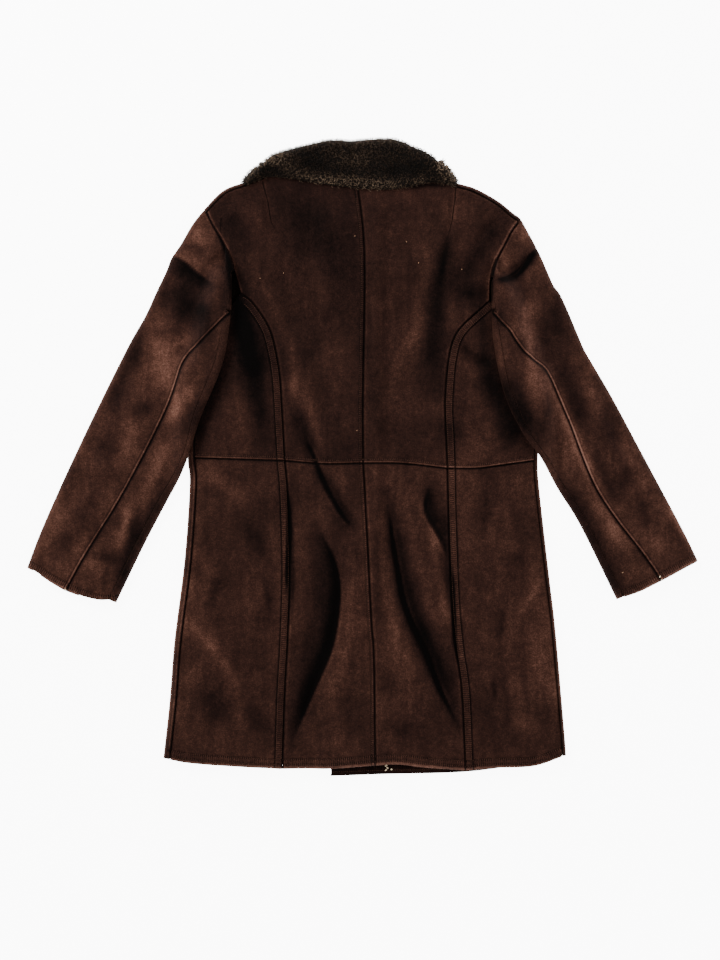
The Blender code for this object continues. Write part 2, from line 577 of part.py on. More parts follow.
def make_piece(name, patches, material, collection):
    """One closed wall from its patches, each an outer and an inner grid of the same size."""
    mesh = bmesh.new()
    inner_place = mesh.verts.layers.float_vector.new("inner")
    for outer, inner in patches:
        rows, columns = outer.shape[:2]
        verts = []
        for out_point, in_point in zip(outer.reshape(-1, 3), inner.reshape(-1, 3)):
            vert = mesh.verts.new(out_point)
            vert[inner_place] = in_point
            verts.append(vert)
        for row in range(rows - 1):
            for column in range(columns - 1):
                corner = row * columns + column
                ring = (corner, corner + 1, corner + columns + 1, corner + columns)
                mesh.faces.new([verts[index] for index in ring])
    bmesh.ops.remove_doubles(mesh, verts=mesh.verts, dist=1e-5)
    outer_verts = list(mesh.verts)
    outer_faces = list(mesh.faces)
    rim = [edge for edge in mesh.edges if len(edge.link_faces) == 1]
    under = {vert: mesh.verts.new(vert[inner_place]) for vert in outer_verts}
    for face in outer_faces:
        mesh.faces.new([under[vert] for vert in reversed(face.verts)])
    for edge in rim:
        start, end = edge.verts
        mesh.faces.new((start, end, under[end], under[start]))
    bmesh.ops.recalc_face_normals(mesh, faces=mesh.faces)
    if mesh.calc_volume(signed=True) < 0:
        bmesh.ops.reverse_faces(mesh, faces=mesh.faces)
    data = bpy.data.meshes.new(name)
    mesh.to_mesh(data)
    mesh.free()
    data.shade_smooth()
    data.set_sharp_from_angle(angle=math.radians(50))
    data.materials.append(material)
    piece = bpy.data.objects.new(name, data)
    collection.objects.link(piece)
    return piece


def side_width(side, share):
    """The fold's width down the side, narrowed a little at the underarm."""
    narrow = (1 - UNDERARM_NARROW) * ease(share / UNDERARM_END)
    return SIDE_FOLD[side] * (UNDERARM_NARROW + narrow)


def side_line(side, share):
    """The top of the side fold, where the side seam lies."""
    return inset(SEAMS[side]["side"], share, side, side_width(side, np.asarray(share, float)))


def outline_width(side, share):
    """The fold's width along the shoulder and down the sleeve."""
    blend = ease((np.asarray(share, float) - SHOULDERS[side]) / FOLD_BLEND)
    return SHOULDER_FOLD + (SLEEVE_FOLD - SHOULDER_FOLD) * blend


def outline_line(side, share):
    """The inner side of the shoulder and sleeve fold."""
    return inset(SEAMS[side]["outline"], share, side, outline_width(side, share))


def sleeve_inner_width(side, share):
    """The fold's width down the inside of the sleeve, narrow where little of it is on the body."""
    share = np.asarray(share, float)
    crotch = CROTCH_NARROW * np.exp(-(((share - CROTCH_SHARE) / CROTCH_REACH) ** 2))
    top = SLEEVE_NARROW + (1 - SLEEVE_NARROW) * ease(share / SLEEVE_NARROW_END)
    return SLEEVE_FOLD * (1 - crotch) * top


def sleeve_inner_line(side, share):
    """The inside fold of the sleeve, moved in to where its round part starts."""
    line = SEAMS[side]["sleeve_inner"]
    width = sleeve_inner_width(side, share)
    return line.at(share) + outward(line, share, side) * width[..., None]


def shoulder_line(side, share):
    """From the armhole's end up to the neck, a seam gap inside the shoulder fold."""
    return outline_line(side, SHOULDERS[side] * (1 - np.asarray(share, float)))


def waist_share(side):
    line = SEAMS[side]["waist_outer"]
    return SEAMS[side]["side"].share_at_y(line.points[0, 1])


def cap_share(side):
    """The share of the armhole seam down to where the cap's edge leaves it."""
    seams = SEAMS[side]
    return seams["armhole"].share_at_y(seams["elbow"].points[0, 1] + CAP_STEP)


def upper_back(side):
    """Centre back above the waist: shoulder, armhole and princess on its outer side."""
    seams = SEAMS[side]
    stretches = (ARMHOLE_ROWS, 2, 11)
    total = sum(stretches)
    ends = np.cumsum(stretches) / total
    cap = cap_share(side)
    sides = {
        "outer": chain(
            (part_of(seams["armhole"], 0.0, cap), ends[0]),
            (part_of(seams["armhole"], cap, 1.0), ends[1]),
            (seams["princess_upper"].at, 1.0),
        ),
        "inner": CENTRES["upper"].at,
        "bottom": seams["waist_inner"].at,
    }
    length = CENTRES["upper"].length
    marks = [step / total for step in range(1, total)]
    along = row_shares(length, marks, 0, PAST_WAIST_BAND)
    along[0] = SIDE_SEAM_GAP / length
    widths = np.linalg.norm(sides["inner"](along) - sides["outer"](along), axis=1)
    near_centre = NEAR_BAND if side == "left" else NEAR_SEAM
    count = SHOULDER_COLUMNS[side] + NECK_COLUMNS[side]
    across = stops(widths, NEAR_SEAM, near_centre, count=count)
    corner = across[0, len(NEAR_SEAM) - 1 + SHOULDER_COLUMNS[side]]
    sides["top"] = chain((lambda share: shoulder_line(side, share), corner), (seams["neck"].at, 1.0))
    grid = coons(sides, across, along)
    x, y = grid[..., 0], grid[..., 1]
    relief = seam_dip(seams["princess_upper"].nearest(x, y)[0])
    relief += seam_dip(seams["armhole"].nearest(x, y)[0])
    centre_gap = CENTRES["upper"].nearest(x, y)[0]
    if side == "left":
        relief += raised_band(centre_gap, CENTRE_BAND) * below_collar(y)
    waist_gap = seams["waist_inner"].nearest(x, y)[0]
    relief += raised_band(waist_gap, WAIST_BAND) + seam_dip(waist_gap) + seam_dip(centre_gap)
    return [with_levels(grid, back_top(x, y), relief)]


def upper_side_back(side):
    """Side back above the waist, under the sleeve on its outer side."""
    seams = SEAMS[side]
    rows = 11
    side_end = waist_share(side)
    sides = {
        "outer": lambda share: side_line(side, side_end * np.asarray(share, float)),
        "inner": seams["princess_upper"].at,
        "top": lambda share: seams["armhole_low"].at(1 - np.asarray(share, float)),
        "bottom": seams["waist_outer"].at,
    }
    marks = [step / rows for step in range(1, rows)]
    along = row_shares(seams["princess_upper"].length, marks, 0, PAST_WAIST_BAND)
    widths = np.linalg.norm(sides["inner"](along) - sides["outer"](along), axis=1)
    across = stops(widths, (SIDE_SEAM_GAP, SEAM_ROUND), NEAR_PRINCESS, SIDE_STEP)
    grid = coons(sides, across, along)
    x, y = grid[..., 0], grid[..., 1]
    gap, share = seams["princess_upper"].nearest(x, y)
    waist_gap = seams["waist_outer"].nearest(x, y)[0]
    relief = raised_band(gap, PRINCESS_BAND) * ease(share / BAND_START) + seam_dip(gap)
    relief += raised_band(waist_gap, WAIST_BAND) + seam_dip(waist_gap)
    return [with_levels(grid, back_top(x, y), relief)]


def hem_rows(length, rows):
    """Shares down a skirt panel, with rows at the hem's stitching and its rounded edge."""
    start = [place / length for place in NEAR_SEAM]
    end = [1 - place / length for place in reversed(NEAR_HEM)]
    marks = [step / rows for step in range(1, rows)]
    inside = [mark for mark in marks if start[-1] < mark - HEM_CLEAR / length / 2]
    return np.array(start + [mark for mark in inside if mark < end[0] - HEM_CLEAR / length] + end)


def hem_relief(gap):
    """The turned hem: a band between its stitching and the rounded edge."""
    groove = 0.5 * np.exp(-(((gap - HEM_BAND) / STITCH_GROOVE) ** 2))
    band = HEM_HEIGHT * (ease((HEM_FADE - gap) / SEAM_ROUND) - groove)
    return band - EDGE_DIP * (1 - ease(gap / EDGE_ROUND))


def skirt_back(side):
    """Centre back below the waist."""
    seams = SEAMS[side]
    sides = {
        "outer": seams["princess_lower"].at,
        "inner": CENTRES["lower"].at,
        "top": seams["waist_inner"].at,
        "bottom": seams["hem_inner"].at,
    }
    along = hem_rows(CENTRES["lower"].length, 17)
    widths = np.linalg.norm(sides["inner"](along) - sides["outer"](along), axis=1)
    near_centre = NEAR_BAND if side == "left" else NEAR_SEAM
    across = stops(widths, NEAR_SEAM, near_centre, PANEL_STEP)
    grid = coons(sides, across, along)
    x, y = grid[..., 0], grid[..., 1]
    gap = seams["princess_lower"].nearest(x, y)[0]
    centre_gap = CENTRES["lower"].nearest(x, y)[0]
    relief = seam_dip(gap) + seam_dip(centre_gap)
    if side == "left":
        relief += raised_band(centre_gap, CENTRE_BAND)
    relief += seam_dip(seams["waist_inner"].nearest(x, y)[0])
    relief += hem_relief(seams["hem_inner"].nearest(x, y)[0])
    return [with_levels(grid, back_top(x, y), relief)]


def skirt_side(side):
    """Side back below the waist, to the side seam on top of the side fold."""
    seams = SEAMS[side]
    start = waist_share(side)
    sides = {
        "outer": lambda share: side_line(side, start + (1 - start) * np.asarray(share, float)),
        "inner": seams["princess_lower"].at,
        "top": seams["waist_outer"].at,
        "bottom": seams["hem_outer"].at,
    }
    along = hem_rows(seams["princess_lower"].length, 17)
    widths = np.linalg.norm(sides["inner"](along) - sides["outer"](along), axis=1)
    across = stops(widths, (SIDE_SEAM_GAP, SEAM_ROUND), NEAR_PRINCESS, SIDE_STEP)
    grid = coons(sides, across, along)
    x, y = grid[..., 0], grid[..., 1]
    gap = seams["princess_lower"].nearest(x, y)[0]
    relief = raised_band(gap, PRINCESS_BAND) + seam_dip(gap)
    relief += seam_dip(seams["waist_outer"].nearest(x, y)[0])
    relief += seam_dip(np.linalg.norm(grid - sides["outer"](along)[:, None], axis=-1))
    relief += hem_relief(seams["hem_outer"].nearest(x, y)[0])
    return [with_levels(grid, back_top(x, y), relief)]


def front(side):
    """A whole front: flat on the floor, then round the shoulder and side folds to the back."""
    seams = SEAMS[side]
    side_rows = 18
    total = FRONT_ARMHOLE_ROWS + side_rows
    armhole_end = FRONT_ARMHOLE_ROWS / total
    inward = FRONT_ARMHOLE_INSET if side == "left" else -FRONT_ARMHOLE_INSET

    def armhole(share):
        shift = ease(40 * share * (1 - share)) * inward
        return seams["armhole_front"].at(share) + np.stack((shift, 0 * shift), axis=-1)

    sides = {
        "outer": chain((armhole, armhole_end), (lambda share: side_line(side, share), 1.0)),
        "inner": seams["front_edge"].at,
        "bottom": seams["front_hem"].at,
    }
    along = np.arange(total + 1) / total
    widths = np.linalg.norm(sides["inner"](along) - sides["outer"](along), axis=1)
    corner_column = SHOULDER_COLUMNS[side]
    across = stops(widths, (0.0,), NEAR_LAP[side], count=corner_column + FRONT_COLUMNS[side])
    corner = across[0, corner_column]
    sides["top"] = chain((lambda share: shoulder_line(side, share), corner),
                         (seams["front_neck"].evenly_across, 1.0))
    grid = coons(sides, across, along)
    shoulder_shares = across[0, : corner_column + 1] / corner
    side_shares = (along[FRONT_ARMHOLE_ROWS:] - armhole_end) / (1 - armhole_end)
    grid[0, : corner_column + 1] = shoulder_line(side, shoulder_shares)
    grid[FRONT_ARMHOLE_ROWS:, 0] = side_line(side, side_shares)
    x, y = grid[..., 0], grid[..., 1]
    bottom = neck_lift(x, y)
    if side == "left":
        bottom = bottom + (WALL + LAP_CLEAR) * lap_rise(x)
    patches = [lower_levels(grid, bottom)]

    outline_shares = SHOULDERS[side] * (1 - shoulder_shares)
    folds = (
        (seams["outline"], outline_shares, outline_width, (0, slice(0, corner_column + 1))),
        (seams["side"], side_shares, side_width, (slice(FRONT_ARMHOLE_ROWS, None), 0)),
    )
    for line, shares, width, place in folds:
        points = grid[place]
        top = back_top(points[:, 0], points[:, 1])
        normals = outward(line, shares, side)
        patches.append(rolled(points, normals, bottom[place], top, width(side, shares)))
    return patches


def elbow_rows(length):
    """Shares down the elbow seam, with rows at the cuff's stitching and its rounded edge."""
    marks = [step / ELBOW_ROWS for step in range(1, ELBOW_ROWS)]
    ends = [1 - place / length for place in NEAR_CUFF]
    return np.array([SLEEVE_SEAM_GAP / length] + marks + ends)


def cuff_relief(along, length):
    """The turned cuff edge, rounded off."""
    gap = (1 - along) * length
    return (-EDGE_DIP * (1 - ease(gap / EDGE_ROUND)))[:, None]


def cuff_split(side, point):
    return SEAMS[side]["cuff"].share_of(point)


def straight(start, end):
    """A straight line as a function of share."""
    return lambda share: start + np.asarray(share, float)[..., None] * (end - start)


def top_sleeve(side):
    """The upper sleeve piece: its top face, the outer fold, and its part of the floor side.

    Its rows fan out from the shoulder point, down the armhole seam and then the elbow seam.
    """
    seams = SEAMS[side]
    elbow, line, armhole = seams["elbow"], seams["outline"], seams["armhole"]
    start = SHOULDERS[side]
    total = ARMHOLE_ROWS + 1 + ELBOW_ROWS
    elbow_start = (ARMHOLE_ROWS + 1) / total
    rows = elbow_rows(elbow.length)
    cap_rows = [CAP_TIP / line.length] + [step / total for step in range(1, ARMHOLE_ROWS + 1)]
    along = np.concatenate((cap_rows, [elbow_start], elbow_start + (1 - elbow_start) * rows[1:]))
    shares = start + (1 - start) * along
    turn = cuff_split(side, elbow.points[-1])
    corner = outline_line(side, 1.0)
    cuff_start = seams["cuff"].share_of(corner)
    cap = cap_share(side)

    def outer(share):
        return outline_line(side, start + (1 - start) * np.asarray(share, float))

    inner = chain(
        (part_of(armhole, 0.0, cap), ARMHOLE_ROWS / total),
        (straight(armhole.at(cap), elbow.at(0.0)), elbow_start),
        (elbow.at, 1.0),
    )
    sides = {
        "outer": outer,
        "inner": inner,
        "top": straight(outer(0.0), inner(0.0)),
        "bottom": part_of(seams["cuff"], cuff_start, turn),
    }
    widths = np.linalg.norm(inner(along) - outer(along), axis=1)
    across = stops(widths, (0.0,), NEAR_SEAM, count=SLEEVE_COLUMNS)
    grid = coons(sides, across, along)
    grid[:, 0] = outer(along)
    x, y = grid[..., 0], grid[..., 1]
    top = sleeve_top(x, y, side)
    edge = cuff_relief(along, line.length * (1 - start))
    relief = seam_dip(elbow.nearest(x, y)[0]) + seam_dip(armhole.nearest(x, y)[0]) + edge
    relief[:, 0] = edge[:, 0]
    upper = with_levels(grid, top, relief)

    front_seam = seams["sleeve_front"]
    turn_front = cuff_split(side, front_seam.points[-1])
    front_start = (ARMHOLE_ROWS + 1 + LOW_ROWS) / total
    inner = chain((seams["armhole_front"].at, front_start), (front_seam.at, 1.0))
    sides = {
        "outer": outer,
        "inner": inner,
        "top": straight(outer(0.0), inner(0.0)),
        "bottom": part_of(seams["cuff"], cuff_start, turn_front),
    }
    widths = np.linalg.norm(inner(along) - outer(along), axis=1)
    across = stops(widths, (0.0,), (SLEEVE_SEAM_GAP,), count=SLEEVE_COLUMNS - 2)
    grid = coons(sides, across, along)
    grid[:, 0] = outer(along)
    bottom = sleeve_bottom(grid[..., 0], grid[..., 1], side)
    lower = lower_levels(grid, bottom)
    fold = rolled(grid[:, 0], outward(line, shares, side), bottom[:, 0], top[:, 0],
                  outline_width(side, shares), edge[:, 0])
    return [upper, fold, lower]


def under_sleeve(side):
    """The under sleeve piece, round the inner fold and on to the body's side."""
    seams = SEAMS[side]
    elbow, line, front_seam = seams["elbow"], seams["sleeve_inner"], seams["sleeve_front"]
    along = elbow_rows(elbow.length)
    turn = cuff_split(side, elbow.points[-1])
    corner = sleeve_inner_line(side, 1.0)
    cuff_end = seams["cuff"].share_of(corner)

    def inner(share):
        return sleeve_inner_line(side, share)

    sides = {
        "outer": elbow.at,
        "inner": inner,
        "top": straight(elbow.at(0.0), inner(0.0)),
        "bottom": part_of(seams["cuff"], turn, cuff_end),
    }
    widths = np.linalg.norm(inner(along) - elbow.at(along), axis=1)
    across = stops(widths, NEAR_SEAM, (0.0,), SLEEVE_STEP)
    grid = coons(sides, across, along)
    grid[:, -1] = inner(along)
    x, y = grid[..., 0], grid[..., 1]
    top = sleeve_top(x, y, side)
    edge = cuff_relief(along, elbow.length)
    relief = seam_dip(elbow.nearest(x, y)[0]) + edge
    relief[:, -1] = edge[:, 0]
    upper = with_levels(grid, top, relief)

    outer = chain((seams["sleeve_low"].at, LOW_ROWS / ELBOW_ROWS), (front_seam.at, 1.0))
    sides = {
        "outer": outer,
        "inner": inner,
        "top": straight(outer(0.0), inner(0.0)),
        "bottom": part_of(seams["cuff"], cuff_split(side, front_seam.points[-1]), cuff_end),
    }
    widths = np.linalg.norm(inner(along) - outer(along), axis=1)
    across = stops(widths, NEAR_SEAM[:1], (0.0,), PANEL_STEP)
    grid = coons(sides, across, along)
    grid[:, -1] = inner(along)
    bottom = sleeve_bottom_on_body(grid[..., 0], grid[..., 1], side)
    lower = lower_levels(grid, bottom)
    fold = rolled(grid[:, -1], -outward(line, along, side), bottom[:, -1], top[:, -1],
                  sleeve_inner_width(side, along), edge[:, 0])
    return [upper, fold, lower]


def fold_normals(rows):
    """Directions in plan, square to the collar's fold and away from the neck."""
    runs = np.gradient(np.array([row[:2] for row in rows]), axis=0)
    normals = np.stack((-runs[:, 1], runs[:, 0]), axis=1)
    normals *= np.sign(normals[:, 1:])
    return normals / np.linalg.norm(normals, axis=1, keepdims=True)


def collar_section(row, out, fur, edge_fur):
    """One section: shares from the neck seam up the stand, over the fold and down the fall.

    out is the direction in plan in which the fold's roll stands out. Returns places along the section and levels, for the wool side and for the skin side.
    """
    place = dict(zip(COLLAR_COLUMNS, row))
    fold, edge, neck = (
        np.array((place[f"{name}_x"], place[f"{name}_y"])) for name in ("fold", "edge", "neck")
    )
    stand_steps = np.linspace(0, 1, STAND_STEPS)
    fall_steps = np.linspace(0, 1, FALL_STEPS)
    angles = np.linspace(-math.pi / 2, math.pi / 2, FOLD_TURNS)[1:-1]
    places, wool, skin = [], [], []
    neck = neck + (fold - neck) / np.linalg.norm(fold - neck) * NECK_CLEAR
    for step in stand_steps:
        places.append((neck + (fold - neck) * step,) * 2)
        wool.append(STAND_IN)
        skin.append(STAND_OUT)
    middle = (STAND_IN + FALL_IN + fur) / 2
    half = (FALL_IN + fur - STAND_IN) / 2
    for angle in angles:
        far = fold + out * COLLAR_ROLL * math.cos(angle)
        near = fold + out * CREASE_RADIUS * math.cos(angle)
        places.append((far, near))
        wool.append(middle + half * math.sin(angle))
        skin.append((STAND_OUT + FALL_IN) / 2 + (FALL_IN - STAND_OUT) / 2 * math.sin(angle))
    for step in fall_steps:
        places.append((fold + (edge - fold) * step,) * 2)
        wool.append(FALL_IN + fur + (edge_fur - fur) * step**2)
        skin.append(FALL_IN)
    return places, wool, skin, len(stand_steps) + len(angles)


def collar(side):
    """Half a collar: from the centre back, round the end of the neck, to the front."""
    turns = COLLAR_TURN[side]
    fold_turn = np.array(turns["fold"]) / np.linalg.norm(turns["fold"])
    edge_turn = np.array(turns["edge"]) / np.linalg.norm(turns["edge"])
    back_rows = COLLAR_BACK[side]
    front_rows = back_rows[-1:] + COLLAR_FRONT[side]
    back_out, front_out = fold_normals(back_rows), fold_normals(front_rows)
    back_out[0] = (0.0, 1.0)
    back = [(row, math.pi / 2, out) for row, out in zip(back_rows, back_out)]
    ends = []
    for step in range(1, END_TURNS):
        share = step / END_TURNS
        out = back_out[-1] * (1 - share) + front_out[0] * share
        ends.append((back_rows[-1], math.pi / 2 - math.pi * share, out / np.linalg.norm(out)))
    fronts = [(row, -math.pi / 2, out) for row, out in zip(front_rows, front_out)]
    last = len(back_rows) - 1
    outer_rows, inner_rows = [], []
    for index, (row, angle, out) in enumerate(back + ends + fronts):
        from_end = abs(index - last - END_TURNS / 2) / (END_TURNS / 2 + END_REACH)
        edge_fur = COLLAR_EDGE + (END_EDGE_FUR - COLLAR_EDGE) * max(0.0, 1 - from_end)
        fur = FRONT_FUR + (COLLAR_FUR - FRONT_FUR) * (0.5 + 0.5 * math.sin(angle))
        places, wool, skin, stand_count = collar_section(row, out, fur, edge_fur)
        outer_row, inner_row = [], []
        for step, (spots, wool_level, skin_level) in enumerate(zip(places, wool, skin)):
            share = 0.0 if step < stand_count else (step - stand_count + 1) / (len(places) - stand_count)
            turn = fold_turn + (edge_turn - fold_turn) * (share if step >= stand_count else 0.0)
            if step < STAND_STEPS:
                turn = edge_turn + (fold_turn - edge_turn) * step / (STAND_STEPS - 1)
            turn = turn / np.linalg.norm(turn)
            walls = (spots[0], wool_level, outer_row), (spots[1], skin_level, inner_row)
            for spot, level, found in walls:
                flat = spot + turn * level * COLLAR_SQUASH * math.cos(angle)
                middle = FRONT_OUT - float(neck_sag(flat[0], flat[1])) * (angle > 0) * math.sin(angle)
                found.append((flat[0], flat[1], middle + level * math.sin(angle)))
        outer_rows.append(outer_row)
        inner_rows.append(inner_row)
    outer, inner = np.array(outer_rows), np.array(inner_rows)
    half_gap = -SEAM_GAP / 2 if side == "left" else SEAM_GAP / 2
    outer[0, :, 0] += half_gap
    inner[0, :, 0] += half_gap
    return [(outer, inner)]


def clear_scene():
    for item in list(bpy.data.objects):
        bpy.data.objects.remove(item, do_unlink=True)


def centre_on_origin(pieces):
    """Moves the whole coat so that its box stands centred on the origin, on z = 0."""
    corners = np.array([vert.co for piece in pieces for vert in piece.data.vertices])
    low, high = corners.min(axis=0), corners.max(axis=0)
    shift = np.array(((low[0] + high[0]) / 2, (low[1] + high[1]) / 2, low[2]))
    for piece in pieces:
        for vert in piece.data.vertices:
            vert.co = np.array(vert.co) - shift


def main():
    clear_scene()
    collection = bpy.data.collections.new("shearling_coat")
    bpy.context.scene.collection.children.link(collection)
    makers = {
        "back": (upper_back, SUEDE_COLOUR),
        "side_back": (upper_side_back, SUEDE_COLOUR),
        "skirt_back": (skirt_back, SUEDE_COLOUR),
        "skirt_side": (skirt_side, SUEDE_COLOUR),
        "front": (front, SUEDE_COLOUR),
        "sleeve_top": (top_sleeve, SUEDE_COLOUR),
        "sleeve_under": (under_sleeve, SUEDE_COLOUR),
        "collar": (collar, FUR_COLOUR),
    }
    pieces = []
    for kind, (maker, colour) in makers.items():
        for side in ("left", "right"):
            name = f"{kind}_{side}"
            material = make_material(name, colour, 0.85, 0.3)
            pieces.append(make_piece(name, maker(side), material, collection))
    centre_on_origin(pieces)


main()
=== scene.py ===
# Shearling coat laid flat with its back up: suede skins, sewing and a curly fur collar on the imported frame
import math

import bpy
import numpy as np
from mathutils import Matrix, Vector
from mathutils.bvhtree import BVHTree


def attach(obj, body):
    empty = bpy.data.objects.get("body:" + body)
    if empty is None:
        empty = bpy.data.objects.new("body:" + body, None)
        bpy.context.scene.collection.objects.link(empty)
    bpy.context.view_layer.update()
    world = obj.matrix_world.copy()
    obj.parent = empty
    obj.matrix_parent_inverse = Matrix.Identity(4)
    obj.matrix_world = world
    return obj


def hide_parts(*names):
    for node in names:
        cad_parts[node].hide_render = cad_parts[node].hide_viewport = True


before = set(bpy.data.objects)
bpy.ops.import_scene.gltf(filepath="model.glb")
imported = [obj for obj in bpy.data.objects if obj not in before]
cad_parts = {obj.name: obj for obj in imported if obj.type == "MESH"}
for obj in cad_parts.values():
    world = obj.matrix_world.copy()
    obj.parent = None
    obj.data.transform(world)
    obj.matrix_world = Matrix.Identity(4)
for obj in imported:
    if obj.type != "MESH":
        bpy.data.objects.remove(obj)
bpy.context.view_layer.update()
print("coat: frame loaded")

# heights and seams of the laid coat

cloth = {
    "wall": 0.007, "layerGap": 0.0008,
    "shoulderFold": 0.006, "sideFold": {"left": 0.010, "right": 0.0055}, "sleeveFold": 0.011,
    "backPuff": 0.0035, "sleevePuff": 0.0035, "puffFade": 0.050, "neckY": 0.397,
    "princessBand": 0.011, "centreBand": 0.0055, "waistBand": 0.005,
    "bandHeight": 0.0014, "lapLeft": -0.0455, "lapRight": 0.014, "lapSlope": 0.026,
    "lapTop": 0.378, "lapFade": 0.040, "slack": 0.0020, "neckSag": 0.008, "neckLift": 0.0078,
    "sleeveClimb": 0.034, "sleeveTent": 0.003, "tentRise": 0.007, "capRise": 0.060,
    "cell": 0.0026, "lowCell": 0.006,
}
double = 2 * cloth["wall"] + cloth["layerGap"]
sleeveBed = double + cloth["backPuff"] + 1.6 * cloth["layerGap"]


def ease(share):
    share = np.clip(share, 0.0, 1.0)
    return share * share * (3 - 2 * share)


def bell(gap, width):
    return np.exp(-((gap / width) ** 2))


class SmoothLine:
    # a smooth line through a few points, read by its share of length
    chunk = 8192

    def __init__(self, points, steps=8):
        corners = np.array(points, float)
        padded = np.vstack((2 * corners[0] - corners[1], corners, 2 * corners[-1] - corners[-2]))
        t = np.linspace(0, 1, steps, endpoint=False)[:, None]
        pieces = []
        for a, b, c, d in zip(padded, padded[1:], padded[2:], padded[3:]):
            bend = 2 * a - 5 * b + 4 * c - d
            twist = -a + 3 * b - 3 * c + d
            pieces.append(b + 0.5 * ((c - a) * t + bend * t**2 + twist * t**3))
        self.points = np.vstack(pieces + [corners[-1:]])
        runs = np.linalg.norm(np.diff(self.points, axis=0), axis=1)
        self.along = np.concatenate(([0], np.cumsum(runs)))
        self.length = self.along[-1]

    def at(self, share):
        place = np.asarray(share, float) * self.length
        return np.stack([np.interp(place, self.along, axis) for axis in self.points.T], axis=-1)

    def evenlyAcross(self, share):
        x = self.points[0, 0] + (self.points[-1, 0] - self.points[0, 0]) * np.asarray(share, float)
        turn = 1 if self.points[-1, 0] > self.points[0, 0] else -1
        return np.stack((x, np.interp(turn * x, turn * self.points[:, 0], self.points[:, 1])), axis=-1)

    def direction(self, share):
        step = 0.004 / self.length
        share = np.asarray(share, float)
        run = self.at(np.minimum(share + step, 1)) - self.at(np.maximum(share - step, 0))
        return run / np.linalg.norm(run, axis=-1, keepdims=True)

    def shareOf(self, point):
        return self.along[np.linalg.norm(self.points - np.array(point), axis=1).argmin()] / self.length

    def shareAtY(self, y):
        return self.along[np.abs(self.points[:, 1] - y).argmin()] / self.length

    def nearest(self, x, y):
        # distance from each point to the line, the share of length there, and the side it is on
        flat = np.stack((np.ravel(x), np.ravel(y)), axis=1)
        starts, runs = self.points[:-1], np.diff(self.points, axis=0)
        sizes = (runs**2).sum(axis=1)
        gaps, shares, turns = np.empty(len(flat)), np.empty(len(flat)), np.empty(len(flat))
        for first in range(0, len(flat), self.chunk):
            part = flat[first:first + self.chunk]
            offsets = part[:, None] - starts
            t = np.clip((offsets * runs).sum(axis=2) / sizes, 0, 1)
            away = offsets - t[..., None] * runs
            reach = np.linalg.norm(away, axis=2)
            best = reach.argmin(axis=1)
            rows = np.arange(len(part))
            gaps[first:first + self.chunk] = reach[rows, best]
            shares[first:first + self.chunk] = self.along[best] + t[rows, best] * np.sqrt(sizes[best])
            cross = runs[best, 0] * away[rows, best, 1] - runs[best, 1] * away[rows, best, 0]
            turns[first:first + self.chunk] = np.sign(cross)
        shape = np.shape(x)
        return gaps.reshape(shape), (shares / self.length).reshape(shape), turns.reshape(shape)


def metres(value):
    return round(value / 1000, 7)


def lineOf(row, steps=8):
    # a smooth line through a flat row of x and y in millimetres
    return SmoothLine([(metres(x), metres(y)) for x, y in zip(row[::2], row[1::2])], steps)


def softLines(rows, steps=8, scale=metres):
    # each row holds its height in millimetres, or a plain strength, its half width and its line
    return [(scale(height), metres(width), lineOf(row, steps)) for height, width, *row in rows]


def sharpLinesOf(rows):
    return [(depth, metres(soft), ridge, lean, lineOf(row)) for depth, soft, ridge, lean, *row in rows]


def bothSides(make, table):
    return {side: make(rows) for side, rows in table.items()}


